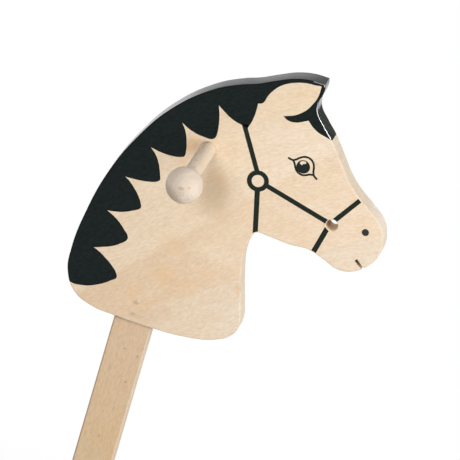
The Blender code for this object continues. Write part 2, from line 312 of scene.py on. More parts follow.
# %% Pale floor
FLOOR_Z = packed_box[0][2]
FLOOR_REACH = 16.0
STICK_X = -21.5
FOOT = Vector((STICK_X * MM, 0.0, FLOOR_Z))
SHEET_WHITE = opaque(0.90, 0.90, 0.90)
SHEET_LIFT = 0.12
FADE_FROM = 0.30
FADE_TO = 1.25


def new_material(name):
    """An empty material and a wire to start its net from."""
    material = bpy.data.materials.new(name)
    material.use_nodes = True
    material.node_tree.nodes.clear()
    return material, Wire(material.node_tree)


bpy.ops.object.select_all(action="DESELECT")
bpy.ops.mesh.primitive_plane_add(size=FLOOR_REACH, location=FOOT)
floor = bpy.context.object
floor.name = "pale_floor"
floor_material, start = new_material("pale_floor_sheet")
on_floor = start.node("TexCoord", out="Object")
from_foot = start.node("VectorMath", {"operation": "LENGTH"}, {0: on_floor}, out="Value")
far_out = from_foot.rise(FADE_FROM, FADE_TO)
direct = seen_directly(start)
sheet = start.node("BsdfDiffuse", sockets={"Color": SHEET_WHITE})
lift = start.node("Emission", sockets={"Color": WHITE, "Strength": direct * SHEET_LIFT})
near_sheet = start.node("AddShader", sockets={0: sheet, 1: lift})
far_sheet = start.node("Emission", sockets={"Color": WHITE, "Strength": 1.0})
whole_sheet = start.node("MixShader", sockets={0: direct * far_out, 1: near_sheet, 2: far_sheet})
start.node("OutputMaterial", sockets={"Surface": whole_sheet})
floor.data.materials.append(floor_material)
print("floor at", round(FLOOR_Z, 4), "m")

# %% [markdown]
# ## Modelling helpers
# Each piece is made with the same tools as by hand: draw an outline as a curve, give it a thickness,
# pick faces or edges by where they are, bevel them, and cut holes with a second solid. The helpers
# below only save typing. They deselect everything first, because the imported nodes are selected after
# loading and an operator works on all that is selected.

# %% Pick, edit and settle
def pick_only(*pieces):
    """Selects just these pieces, and makes the first one active."""
    bpy.ops.object.select_all(action="DESELECT")
    for piece in pieces:
        piece.select_set(True)
    bpy.context.view_layer.objects.active = pieces[0]


@contextmanager
def editing(piece, kind="VERT"):
    """Opens a piece in edit mode with all of it selected."""
    pick_only(piece)
    bpy.ops.object.mode_set(mode="EDIT")
    bpy.ops.mesh.select_mode(type=kind)
    bpy.ops.mesh.select_all(action="SELECT")
    yield
    bpy.ops.object.mode_set(mode="OBJECT")


def call_it(name):
    """Names the new active piece and its mesh."""
    piece = bpy.context.object
    piece.name = name
    piece.data.name = name
    return piece


def settle(piece):
    """Lays the object's place and turn into its mesh, and leaves the object at the origin."""
    pick_only(piece)
    bpy.ops.object.transform_apply(location=True, rotation=True, scale=True)


def tidy_mesh(piece, apart=0.001 * MM):
    """Merges doubled corners and turns every face outwards."""
    with editing(piece):
        bpy.ops.mesh.remove_doubles(threshold=apart)
        bpy.ops.mesh.normals_make_consistent(inside=False)


def pick(piece, kind, wanted):
    """In edit mode, selects the faces, or the edges, for which wanted is true."""
    bpy.ops.mesh.select_mode(type=kind)
    bpy.ops.mesh.select_all(action="DESELECT")
    shape = bmesh.from_edit_mesh(piece.data)
    for part in shape.faces if kind == "FACE" else shape.edges:
        if wanted(part):
            part.select_set(True)
    bmesh.update_edit_mesh(piece.data)


def pick_faces(piece, wanted):
    """Picks the faces for which wanted(middle, normal) is true."""
    pick(piece, "FACE", lambda face: wanted(face.calc_center_median(), face.normal))


def pick_edges(piece, wanted):
    """Picks the edges for which wanted(one end, other end) is true."""
    pick(piece, "EDGE", lambda edge: wanted(edge.verts[0].co, edge.verts[1].co))


def flat_side(middle, normal):
    """True for the two broad faces, which look left and right."""
    return abs(normal.y) > 0.99


def finish_with(piece, kind, **settings):
    """Adds a modifier with these settings and applies it."""
    pick_only(piece)
    step = piece.modifiers.new(kind.lower(), kind)
    for setting, value in settings.items():
        setattr(step, setting, value)
    bpy.ops.object.modifier_apply(modifier=step.name)
    return piece


def copy_of(piece, name):
    """Copies a piece with a mesh of its own."""
    pick_only(piece)
    bpy.ops.object.duplicate(linked=False)
    return call_it(name)


def scrap(piece):
    """Deletes a piece that was only a tool."""
    pick_only(piece)
    bpy.ops.object.delete()


def combine(piece, tool, operation):
    """Cuts, joins or intersects a piece with a second solid, and scraps that solid."""
    finish_with(piece, "BOOLEAN", object=tool, operation=operation, solver="MANIFOLD")
    scrap(tool)
    return piece


def smooth_over(piece, angle=32.0):
    """Smooths the shading over gentle turns, and keeps flat faces flat up to their rims."""
    pick_only(piece)
    bpy.ops.object.shade_smooth_by_angle(angle=radians(angle))
    finish_with(piece, "WEIGHTED_NORMAL", keep_sharp=True)


print("modelling helpers are ready")

# %% Draw and saw
THROUGH = 14.0


def with_corners(*runs):
    """Joins runs of (x, z) points into one outline. Only the first point of each run is a corner."""
    return [(x, z, place == 0) for run in runs for place, (x, z) in enumerate(run)]


def straight(points):
    """An outline of straight lines, where each point is a corner."""
    return [(x, z, True) for x, z in points]


def ring_of(x, z, radius, count=12):
    """A round outline: points on a circle, with none of them a corner."""
    turns = [2 * pi * step / count for step in range(count)]
    return [(x + radius * cos(turn), z + radius * sin(turn), False) for turn in turns]


def draw(name, outlines, middle, half, steps, closed=True):
    """Draws outlines in millimetres on the side view, and gives them a half thickness about a middle."""
    bpy.ops.object.select_all(action="DESELECT")
    upright = (pi / 2, 0.0, 0.0)
    bpy.ops.curve.primitive_bezier_curve_add(location=(0.0, middle * MM, 0.0), rotation=upright)
    piece = call_it(name)
    curve = piece.data
    curve.dimensions = "2D"
    curve.fill_mode = "BOTH" if closed else "NONE"
    curve.resolution_u = steps
    curve.extrude = half * MM
    curve.splines.clear()
    for outline in outlines:
        spline = curve.splines.new("BEZIER")
        spline.bezier_points.add(len(outline) - 1)
        spline.use_cyclic_u = closed
        for knot, (x, z, corner) in zip(spline.bezier_points, outline):
            knot.co = (x * MM, z * MM, 0.0)
            knot.handle_left_type = "VECTOR" if corner else "AUTO"
            knot.handle_right_type = knot.handle_left_type
    return piece


def sawn(name, outlines, middle=0.0, half=THROUGH, steps=8):
    """Saws a flat piece: the outlines are drawn, filled and turned into a clean mesh."""
    piece = draw(name, outlines, middle, half, steps)
    bpy.ops.object.convert(target="MESH")
    settle(piece)
    tidy_mesh(piece)
    with editing(piece):
        pick_faces(piece, flat_side)
        bpy.ops.mesh.dissolve_limited(angle_limit=radians(0.1))
    return piece


def stroke(name, points, width):
    """A pen line of even width along (x, z) points, standing through the board like a thin wall."""
    piece = draw(name, [[(x, z, False) for x, z in points]], 0.0, THROUGH, 6, closed=False)
    bpy.ops.object.convert(target="MESH")
    settle(piece)
    tidy_mesh(piece)
    finish_with(piece, "SOLIDIFY", thickness=width * MM, offset=0.0, use_even_offset=True)
    finish_with(piece, "BEVEL", limit_method="ANGLE", angle_limit=radians(60.0),
                width=0.44 * width * MM, segments=3)
    return piece


def round_rims(piece, radius, segments):
    """Rounds the rims of the two broad faces."""
    with editing(piece):
        pick_faces(piece, flat_side)
        bpy.ops.mesh.region_to_loop()
        bpy.ops.mesh.bevel(offset=radius * MM, segments=segments, affect="EDGES", clamp_overlap=False)
    tidy_mesh(piece)


print("drawing helpers are ready")

# %% Turn on a lathe
def arc(along, out, radius, first, last, steps):
    """Points of a round stretch of a turned profile, by its centre, radius and end angles in degrees."""
    turns = [radians(first + (last - first) * step / steps) for step in range(steps + 1)]
    return [(along + radius * cos(turn), out + radius * sin(turn)) for turn in turns]


def turned(name, profile, x, y, z, steps=64):
    """Turns a half profile of (along the axis, out from it) points about a cross axis."""
    bpy.ops.object.select_all(action="DESELECT")
    bpy.ops.mesh.primitive_plane_add(size=MM)
    piece = call_it(name)
    knots = [Vector((x, y + along, z + out)) * MM for along, out in profile]
    with editing(piece):
        bpy.ops.mesh.merge(type="CENTER")
        bpy.ops.transform.translate(value=knots[0])
        for here, there in zip(knots, knots[1:]):
            bpy.ops.mesh.extrude_region_move(TRANSFORM_OT_translate={"value": there - here})
        bpy.ops.mesh.select_all(action="SELECT")
        axis_point = Vector((x, y, z)) * MM
        bpy.ops.mesh.spin(steps=steps, angle=2 * pi, center=axis_point, axis=(0.0, 1.0, 0.0))
    tidy_mesh(piece)
    return piece


def other_half(profile):
    """The same profile turned over, from its last point back to its first."""
    return [(-along, out) for along, out in reversed(profile)]


def rod(name, half, radius, ease, x, z, steps, rings=()):
    """A round rod with eased ends, and with rings of corners at these places along it."""
    end = [(-half, 0.0), (-half, radius - ease), (-half + ease, radius)]
    profile = end + [(along, radius) for along in rings] + other_half(end)
    piece = turned(name, profile, x, 0.0, z, steps)
    smooth_over(piece)
    return piece


def drill_through(piece, name, radius, x, z, steps=32):
    """Drills a plain hole right through a piece."""
    profile = [(-THROUGH, 0.0), (-THROUGH, radius), (THROUGH, radius), (THROUGH, 0.0)]
    return combine(piece, turned(name, profile, x, 0.0, z, steps), "DIFFERENCE")


def mirrored(piece, name):
    """A copy on the other side of the board, with a mesh of its own."""
    other = copy_of(piece, name)
    with editing(other):
        bpy.ops.transform.resize(value=(1.0, -1.0, 1.0), center_override=(0.0, 0.0, 0.0))
        bpy.ops.mesh.normals_make_consistent(inside=False)
    return other


print("lathe is ready")

# %% [markdown]
# ## The head board
# The head is sawn from a 22 mm beech board and its rims are rounded with a router. The outline is a
# chain of smooth curves with one sharp corner, the ear's tip, so Bezier points with automatic handles
# follow it with few points. A traced polygon would need hundreds, and its rims would never round well.

# %% Saw the outline and round its rims
BOARD_HALF = 11.0
ARRIS = 1.5
HEAD_OUTLINE = with_corners(
    [(86.2, 95.0), (87.2, 91.0), (87.1, 86.8), (86.4, 82.8), (85.3, 79.3), (85.1, 75.6), (86.9, 67.4),
     (96.2, 56.3), (106.2, 46.2), (121.2, 27.3), (130.6, 15.0), (142.9, 3.3), (158.6, -7.7),
     (171.7, -18.7), (177.7, -33.7), (176.6, -48.8), (170.1, -59.2), (159.6, -68.2), (145.5, -71.4),
     (130.0, -66.5), (114.5, -62.0), (96.0, -63.1), (74.0, -62.0), (63.6, -62.6), (60.0, -71.6),
     (58.0, -84.7), (63.3, -113.1), (70.2, -137.7), (73.1, -151.8), (70.0, -163.6), (54.8, -174.5),
     (25.1, -181.4), (0.0, -183.1), (-43.0, -182.7), (-61.1, -181.3), (-80.2, -173.4),
     (-92.0, -155.8), (-94.6, -133.8), (-91.3, -95.8), (-81.7, -51.8), (-65.2, -11.0),
     (-41.8, 26.4), (-10.8, 56.0), (11.5, 68.8), (26.4, 74.9), (42.3, 83.4), (57.3, 90.6), (72.6, 94.5)],
)

EAR_TIP = Vector((86.2, 95.0))
TIP_REACH = 2.2

board = sawn("horse_head_board", [HEAD_OUTLINE], half=BOARD_HALF, steps=12)


def crowds_the_tip(one, other):
    """True for the cross edges close beside the ear's tip, where the round is wider than the facets."""
    across = abs(one.y - other.y) > BOARD_HALF * MM
    from_tip = (Vector((one.x, one.z)) / MM - EAR_TIP).length
    return across and 0.1 < from_tip < TIP_REACH


with editing(board):
    pick_edges(board, crowds_the_tip)
    bpy.ops.mesh.dissolve_edges(use_verts=True)
round_rims(board, ARRIS, 6)
print("board faces:", len(board.data.polygons))

# %% [markdown]
# ## The print
# A real print is a film of ink on the finished wood. Painting it in a texture would blur at this size,
# and a decal would float. So a film is made from the board itself: a copy of its skin, a sixth of a
# millimetre thick, that straddles the surface. The mane is the part of that film inside a wavy outline.
# It wraps over the rim and the edge, as the real paint does. The bridle and the eye need only the film
# on the two flat faces, so a slab takes away the rest of it first.

# %% The film of ink
INK_HALF = 0.08
film = copy_of(board, "ink_film")
finish_with(film, "SOLIDIFY", thickness=2 * INK_HALF * MM, offset=0.0)
print("film faces:", len(film.data.polygons))

# %% The mane, the forelock and the dark edge
MANE_LINE = with_corners(
    [(-86.8, -164.8), (-83.5, -165.5), (-76.5, -164.6), (-69.6, -162.8), (-63.1, -159.7),
     (-56.8, -155.7), (-50.9, -150.8), (-47.1, -146.9), (-48.9, -142.4), (-54.8, -136.7),
     (-62.4, -131.6), (-69.6, -127.7)],
    [(-74.8, -125.8), (-67.3, -122.7), (-59.7, -119.3), (-52.6, -114.2), (-47.3, -107.6),
     (-48.1, -104.6), (-52.9, -99.8), (-59.3, -94.3), (-66.0, -90.3)],
    [(-72.5, -87.4), (-65.4, -86.1), (-57.4, -83.7), (-49.9, -79.7), (-44.7, -76.3),
     (-43.7, -74.6), (-45.2, -70.0), (-49.5, -63.7), (-55.6, -57.5), (-61.1, -53.0)],
    [(-65.3, -50.7), (-58.2, -50.3), (-49.9, -49.4), (-42.8, -48.0), (-36.2, -45.5),
     (-33.9, -42.7), (-34.5, -40.5), (-36.7, -34.2), (-39.4, -28.2), (-44.0, -21.3)],
    [(-50.2, -15.7), (-39.2, -17.3), (-26.8, -16.9), (-21.3, -15.4), (-19.1, -14.3),
     (-18.2, -11.8), (-18.5, -8.5), (-19.9, -1.3), (-24.2, 9.7)],
    [(-29.3, 16.7), (-19.5, 12.2), (-7.0, 10.1), (1.6, 10.8), (3.6, 12.9),
     (4.3, 15.8), (4.2, 20.1), (1.6, 34.7)],
    [(-1.6, 43.8), (5.7, 39.3), (11.1, 36.3), (17.2, 34.0), (23.2, 32.9)],
    [(29.8, 31.2), (29.8, 32.6), (30.6, 35.1), (32.0, 41.3), (32.7, 51.2)],
    [(32.4, 57.5), (35.9, 58.9), (37.3, 60.8), (39.2, 67.6), (43.2, 75.1), (47.8, 80.6),
     (54.2, 85.2), (62.3, 88.9), (71.7, 91.2), (77.8, 91.7)],
    [(83.5, 92.7), (83.7, 90.4), (83.1, 81.0), (80.5, 73.6), (77.0, 66.8), (72.3, 61.5), (67.3, 57.7)],
    [(57.7, 53.6), (63.1, 51.0), (69.1, 51.3), (74.6, 53.4), (77.9, 55.4)],
    [(80.9, 57.2), (83.4, 54.9), (88.3, 51.3), (94.4, 48.6), (100.2, 47.4), (104.2, 46.3)],
)
OUTSIDE_THE_BOARD = straight([
    (109.5, 45.0), (114.0, 52.0), (100.0, 102.0), (55.0, 102.0), (-25.0, 65.0), (-85.0, 0.0),
    (-110.0, -100.0), (-108.0, -160.0), (-96.0, -174.0),
])


def printed(name, area):
    """The part of the film that lies inside an area."""
    piece = combine(copy_of(film, name), area, "INTERSECT")
    tidy_mesh(piece)
    return piece


mane = printed("mane_print", sawn("mane_area", [MANE_LINE + OUTSIDE_THE_BOARD]))
smooth_over(mane)
print("mane faces:", len(mane.data.polygons))

# %% Keep the film of the two flat faces only
BIT_X = 128.5
BIT_Z = -32.1
BARE_RING = 6.1
WHOLE_SIDE = straight([(-130.0, -215.0), (210.0, -215.0), (210.0, 125.0), (-130.0, 125.0)])
combine(film, sawn("inner_slab", [WHOLE_SIDE], half=BOARD_HALF - 0.01), "DIFFERENCE")
combine(film, sawn("bare_ring", [ring_of(BIT_X, BIT_Z, BARE_RING)]), "DIFFERENCE")
print("flat film faces:", len(film.data.polygons))

# %% The bridle
CHEEK_STRAP = straight([(23.9, 34.4), (29.8, 34.4), (29.8, 31.2), (51.5, -5.2), (47.3, -6.7), (23.9, 32.6)])
THROAT_STRAP = straight([(51.8, -23.4), (56.4, -21.8), (66.5, -66.0), (62.0, -67.5)])
BIT_STRAP = straight([(62.2, -13.5), (125.7, -28.6), (123.6, -32.8), (60.9, -17.8)])
NOSE_STRAP = straight([(126.4, -27.7), (146.7, 3.5), (150.4, 1.3), (130.7, -29.4)])
CHIN_STRAP = straight([(122.9, -35.5), (127.4, -37.5), (121.0, -65.1), (116.3, -63.9)])
RING_X = 52.2
RING_Z = -13.9

bridle_area = sawn("bridle_area", [ring_of(RING_X, RING_Z, 10.15), ring_of(RING_X, RING_Z, 5.8)])
for strap in (CHEEK_STRAP, THROAT_STRAP, BIT_STRAP, NOSE_STRAP, CHIN_STRAP):
    combine(bridle_area, sawn("strap_area", [strap]), "UNION")
bridle = printed("bridle_print", bridle_area)
print("bridle faces:", len(bridle.data.polygons))

# %% The eye and the nostril
PUPIL = ring_of(88.2, 13.0, 6.35)
NOSTRIL = ring_of(159.7, -28.3, 3.3)
GLINT = with_corners(
    [(84.3, 15.4), (84.7, 17.0), (86.6, 18.3), (88.7, 18.6)],
    [(90.1, 17.6), (89.5, 16.4), (88.6, 16.1), (87.7, 15.8)],
    [(86.7, 14.2), (85.4, 14.6)],
)
UPPER_LID = [(72.4, 17.0), (77.4, 16.2), (79.5, 17.2), (82.6, 20.0), (86.8, 22.6), (91.4, 22.8),
             (95.3, 20.6), (97.6, 16.3), (98.5, 11.5), (99.9, 8.2), (103.8, 5.5)]
LOWER_LID = [(77.6, 16.1), (79.7, 13.7), (81.3, 10.5), (83.5, 7.4), (86.6, 5.7), (90.2, 5.3),
             (93.5, 6.6), (95.6, 7.8), (99.0, 8.6)]
LID_LINE = 1.85

eye_area = sawn("eye_area", [PUPIL, GLINT])
combine(eye_area, stroke("upper_lid_area", UPPER_LID, LID_LINE), "UNION")
combine(eye_area, stroke("lower_lid_area", LOWER_LID, LID_LINE), "UNION")
eye = printed("eye_print", eye_area)
nostril = printed("nostril_print", sawn("nostril_area", [NOSTRIL]))
scrap(film)
print("eye faces:", len(eye.data.polygons), "nostril faces:", len(nostril.data.polygons))

# %% [markdown]
# ## Holes in the board
# Now the board gets what was cut after sawing: the hole for a rein at the bit with softly flared rims,
# the saw slit of the mouth, the hole for the handle, the mortise for the stick and the hole for its pin.
# Each is a second solid that is subtracted. The walls of the rein hole and of the slit get a material
# of their own, with painted shade and light in its colour.

# %% Cut the holes
BIT_RADIUS = 5.25
BIT_FLARE = 1.2
HANDLE_RADIUS = 7.5
PIN_X = STICK_X
PIN_Z = -161.5
PIN_RADIUS = 2.1
FIT = 0.1
SLIT_X = 158.4
SLIT_Z = -56.6
SLIT_TURN = -38.0
SLIT_HALF = 1.45
SLIT_REACH = 18.0

left_flare = arc(BOARD_HALF - BIT_FLARE, BIT_RADIUS + BIT_FLARE, BIT_FLARE, -90.0, 0.0, 5)
half_bit = left_flare + [(THROUGH, BIT_RADIUS + BIT_FLARE), (THROUGH, 0.0)]
bit_profile = other_half(half_bit) + half_bit
combine(board, turned("rein_hole", bit_profile, BIT_X, 0.0, BIT_Z, 48), "DIFFERENCE")
drill_through(board, "handle_hole", HANDLE_RADIUS + FIT, 0.0, 0.0, 64)
drill_through(board, "pin_hole", PIN_RADIUS + FIT, PIN_X, PIN_Z)

along_slit = Vector((cos(radians(SLIT_TURN)), sin(radians(SLIT_TURN))))
over_slit = Vector((-along_slit.y, along_slit.x)) * SLIT_HALF
slit_start = Vector((SLIT_X, SLIT_Z))
slit_end = slit_start + along_slit * SLIT_REACH
slit = straight([
    slit_start + over_slit, slit_start - over_slit, slit_end - over_slit, slit_end + over_slit,
])
combine(board, sawn("mouth_slit", [slit]), "DIFFERENCE")
print("board faces with its holes:", len(board.data.polygons))

# %% Mortise for the stick
TENON_WIDE = 24.0
TENON_THICK = 10.0
TENON_LONG = 38.0
STICK_TOP = -183.7


def upright_block(wide, top, bottom):
    """A plain upright block outline, centred on the stick."""
    left = STICK_X - wide / 2
    right = STICK_X + wide / 2
    return straight([(left, bottom), (right, bottom), (right, top), (left, top)])


MORTISE_SPARE = 0.5
BELOW_THE_BOARD = 4.0
mortise_top = STICK_TOP + TENON_LONG + MORTISE_SPARE
mortise = upright_block(TENON_WIDE + 2 * FIT, mortise_top, STICK_TOP - BELOW_THE_BOARD)
combine(board, sawn("mortise", [mortise], half=TENON_THICK / 2 + FIT), "DIFFERENCE")
tidy_mesh(board)
smooth_over(board)
print("board faces in the end:", len(board.data.polygons))

# %% [markdown]
# ## Cross handle and balls
# The bar is a 15 mm dowel through the board, and each ball was turned and drilled halfway to take it.
# Turned work is best made as on a lathe: draw half the profile, then spin it about the axis. A plain
# sphere would have poles in the wrong place and no hole, and its rim at the bar would look fused.

# %% The bar
BAR_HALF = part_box("handle_shaft")[1].y / MM
BAR_EASE = 0.8
BAR_RINGS = (-90.0, -60.0, -30.0, 30.0, 60.0, 90.0)
bar = rod("handle_bar", BAR_HALF, HANDLE_RADIUS, BAR_EASE, 0.0, 0.0, 72, BAR_RINGS)
print("bar half length, mm:", round(BAR_HALF, 1))

# %% The balls
BALL_Y = 118.0
BALL_RADIUS = 17.0
BORE_END = 3.0
BORE_EASE = 0.5
BORE_RADIUS = HANDLE_RADIUS + 0.03
MOUTH_ANGLE = 180.0 - 26.8

ball_profile = arc(0.0, 0.0, BALL_RADIUS, 0.0, MOUTH_ANGLE, 34)
mouth_along = ball_profile[-1][0]
ball_profile += [(mouth_along + BORE_EASE, BORE_RADIUS), (BORE_END, BORE_RADIUS), (BORE_END, 0.0)]
left_ball = turned("left_ball", ball_profile, 0.0, BALL_Y, 0.0, 72)
smooth_over(left_ball)
right_ball = mirrored(left_ball, "right_ball")
print("ball faces:", len(left_ball.data.polygons))

# %% [markdown]
# ## Stick and pin
# The stick is a flat lath with rounded arrises, a round foot about the axle and a tenon on top, which a
# small dowel locks in the board. The lath is sawn like the board and its rims are rounded, but not at
# the top end: that is cut square and butts on the board, which leaves a fine dark line there. Painted
# shade on the stick's top, just under the board, makes that line deeper.

# %% The lath
LATH_HALF_WIDE = 18.0
LATH_HALF = 9.0
LATH_ARRIS = 2.0
AXLE_Z = -760.0
AXLE_RADIUS = 3.0

left_edge = STICK_X - LATH_HALF_WIDE
right_edge = STICK_X + LATH_HALF_WIDE
foot = arc(STICK_X, AXLE_Z, LATH_HALF_WIDE, 180.0, 360.0, 24)
lath_outline = straight([(left_edge, STICK_TOP)] + foot + [(right_edge, STICK_TOP)])
lath = sawn("stick_lath", [lath_outline], half=LATH_HALF, steps=1)


def long_edge(one, other):
    """True for the rims of the broad faces, except at the square top end."""
    hair = 0.01 * MM
    level = abs(one.y - other.y) < hair
    on_face = level and min(abs(one.y), abs(other.y)) > LATH_HALF * MM - hair
    at_top = min(one.z, other.z) > STICK_TOP * MM - hair
    return on_face and not at_top


with editing(lath):
    pick_edges(lath, long_edge)
    bpy.ops.mesh.bevel(offset=LATH_ARRIS * MM, segments=5, affect="EDGES", clamp_overlap=False)
tidy_mesh(lath)

tenon = upright_block(TENON_WIDE, STICK_TOP + TENON_LONG, STICK_TOP - 10.0)
combine(lath, sawn("tenon", [tenon], half=TENON_THICK / 2), "UNION")
drill_through(lath, "tenon_hole", PIN_RADIUS + FIT, PIN_X, PIN_Z)
drill_through(lath, "axle_hole", AXLE_RADIUS + FIT, STICK_X, AXLE_Z)
tidy_mesh(lath)
smooth_over(lath)
print("lath faces:", len(lath.data.polygons))

# %% The pin
PIN_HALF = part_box("tenon_pin")[1].y / MM
PIN_EASE = 0.25
pin = rod("locking_pin", PIN_HALF, PIN_RADIUS, PIN_EASE, PIN_X, PIN_Z, 32)
print("pin half length, mm:", round(PIN_HALF, 2))

# %% [markdown]
# ## Wheels
# Each wheel is turned from beech, with a hub that is thicker than its web, a coved corner between them
# and a groove in the rim that holds a rubber tyre. A steel rod is pressed through the lath's foot, and
# each wheel turns on it between a nylon spacer and a washer, with a push-on cap outside. One side is
# made on the lathe and the other is a mirrored copy.

# %% The left wheel and its tyre
WHEEL_Y = 20.6
HUB_HALF = 9.0
HUB_RADIUS = 13.0
WEB_HALF = 5.5
RIM_HALF = 8.0
RIM_INNER = 30.3
FLANGE_RADIUS = 36.5
GROOVE_HALF = 6.0
GROOVE_FLOOR = 34.0
WHEEL_BORE = 3.2
SCORE_AT = 21.5
SCORE_DEEP = 0.5
BORE_CHAMFER = 0.8
HUB_ROUND = 1.5
COVE = 1.4
RIM_ROUND = 0.9


def on_the_axle(name, profile, y, steps=48):
    """Turns a smooth piece about the wheel's axle, this far to the left of the stick's middle."""
    piece = turned(name, profile, STICK_X, y, AXLE_Z, steps)
    smooth_over(piece)
    return piece


def both_halves(half):
    """Closes a ring's profile from its left half."""
    return half + other_half(half) + half[:1]


half_wheel = [(HUB_HALF - BORE_CHAMFER, WHEEL_BORE), (HUB_HALF, WHEEL_BORE + BORE_CHAMFER)]
half_wheel += [(HUB_HALF, HUB_RADIUS - HUB_ROUND)]
half_wheel += arc(HUB_HALF - HUB_ROUND, HUB_RADIUS - HUB_ROUND, HUB_ROUND, 0.0, 90.0, 5)
half_wheel += arc(WEB_HALF + COVE, HUB_RADIUS + COVE, COVE, 270.0, 180.0, 5)
half_wheel += [(WEB_HALF, SCORE_AT - SCORE_DEEP), (WEB_HALF - SCORE_DEEP, SCORE_AT)]
half_wheel += [(WEB_HALF, SCORE_AT + SCORE_DEEP)]
half_wheel += arc(WEB_HALF + COVE, RIM_INNER - COVE, COVE, 180.0, 90.0, 5)
half_wheel += arc(RIM_HALF - RIM_ROUND, RIM_INNER + RIM_ROUND, RIM_ROUND, -90.0, 0.0, 3)
half_wheel += arc(RIM_HALF - RIM_ROUND, FLANGE_RADIUS - RIM_ROUND, RIM_ROUND, 0.0, 90.0, 4)
half_wheel += [(GROOVE_HALF, FLANGE_RADIUS), (GROOVE_HALF, GROOVE_FLOOR)]
left_wheel = on_the_axle("left_wheel_wood", both_halves(half_wheel), WHEEL_Y, 96)

TYRE_HALF = 5.7
TYRE_RADIUS = 40.0
SHOULDER = 2.0
RIB_DEEP = 0.55
RIB_TOP = 0.35
RIB_BOTTOM = 0.2
RIB_PLACES = (3.0, 1.0)

half_tyre = [(TYRE_HALF, GROOVE_FLOOR + 0.1)]
half_tyre += arc(TYRE_HALF - SHOULDER, TYRE_RADIUS - SHOULDER, SHOULDER, 0.0, 90.0, 6)
rib_floor = TYRE_RADIUS - RIB_DEEP
for place in RIB_PLACES:
    half_tyre += [(place + RIB_TOP, TYRE_RADIUS), (place + RIB_BOTTOM, rib_floor)]
    half_tyre += [(place - RIB_BOTTOM, rib_floor), (place - RIB_TOP, TYRE_RADIUS)]
left_tyre = on_the_axle("left_wheel_tyre", both_halves(half_tyre), WHEEL_Y, 96)
print("wheel faces:", len(left_wheel.data.polygons), "tyre faces:", len(left_tyre.data.polygons))

# %% Spacer, washer, cap and axle
SPACER_Y = 10.3
WASHER_Y = 30.5


def disc_profile(half, outer, inner, ease):
    """A flat ring with eased rims."""
    return both_halves([(half, inner), (half, outer - ease), (half - ease, outer)])


left_spacer = on_the_axle("left_spacer_ring", disc_profile(1.0, 7.0, 3.1, ease=0.3), SPACER_Y)
left_washer = on_the_axle("left_washer_ring", disc_profile(0.6, 7.5, 3.2, ease=0.25), WASHER_Y)

CAP_Y = 31.4
CAP_RADIUS = 7.0
CAP_HIGH = 6.0
CAP_SKIRT = 2.0
CAP_WALL = 1.6
CAP_EASE = 0.3
CAP_GRIP = 3.15
CAP_INSIDE = CAP_RADIUS - CAP_WALL
cap_bow = (CAP_RADIUS ** 2 + (CAP_HIGH - CAP_SKIRT) ** 2) / (2 * (CAP_HIGH - CAP_SKIRT))
cap_profile = []
for step in range(11):
    out = CAP_RADIUS * (step / 10)
    cap_profile.append((CAP_HIGH - cap_bow + (cap_bow ** 2 - out ** 2) ** 0.5, out))
cap_profile += [(CAP_EASE, CAP_RADIUS), (0.0, CAP_RADIUS - CAP_EASE), (0.0, CAP_INSIDE)]
cap_profile += [(0.8, CAP_INSIDE), (0.9, CAP_GRIP), (1.4, CAP_GRIP), (1.5, CAP_INSIDE)]
cap_profile += [(CAP_SKIRT, CAP_INSIDE), (CAP_HIGH - CAP_WALL, 2.2), (CAP_HIGH - CAP_WALL, 0.0)]
left_cap = on_the_axle("left_push_cap", cap_profile, CAP_Y)

AXLE_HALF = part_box("wheel_axle")[1].y / MM
AXLE_EASE = 0.4
axle = rod("axle_rod", AXLE_HALF, AXLE_RADIUS, AXLE_EASE, STICK_X, AXLE_Z, 48)
print("cap bow radius, mm:", round(cap_bow, 2), "axle half length, mm:", round(AXLE_HALF, 2))

# %% Mirror the wheel set
right_wheel = mirrored(left_wheel, "right_wheel_wood")
right_tyre = mirrored(left_tyre, "right_wheel_tyre")
right_spacer = mirrored(left_spacer, "right_spacer_ring")
right_washer = mirrored(left_washer, "right_washer_ring")
right_cap = mirrored(left_cap, "right_push_cap")
print("mirrored five pieces")

# %% [markdown]
# ## Beech
# Beech is pale and even. It has fine fibres, faint growth bands that sway a little, a silky ripple, soft
# patches that are warmer or cooler, and many short brown dashes, its rays. All are solid patterns in
# the piece's own space, stretched along the grain, so they run through the wood and show as dots on
# the end grain, as real ones do. A flat texture would smear on the edges.

# %% One recipe for beech
RAY_BROWN = opaque(0.40, 0.235, 0.125)
RAY_SHARE = 0.3


def noise(along, through, across, detail=2.0, rough=0.5):
    """Smooth noise on three wires."""
    place = along.node("CombineXYZ", sockets={0: along, 1: through, 2: across})
    sockets = {"Vector": place, "Scale": 1.0, "Detail": detail, "Roughness": rough}
    return along.node("TexNoise", sockets=sockets)


def grain_space(start, turn, lay=(0.0, 0.0, 0.0)):
    """Three wires in millimetres: along the grain, through the board and across the grain."""
    place = start.node("TexCoord", out="Object")
    settings = {"vector_type": "POINT"}
    sockets = {"Vector": place, "Location": lay, "Rotation": turn, "Scale": (1000.0, 1000.0, 1000.0)}
    return start.node("Mapping", settings, sockets).parts()


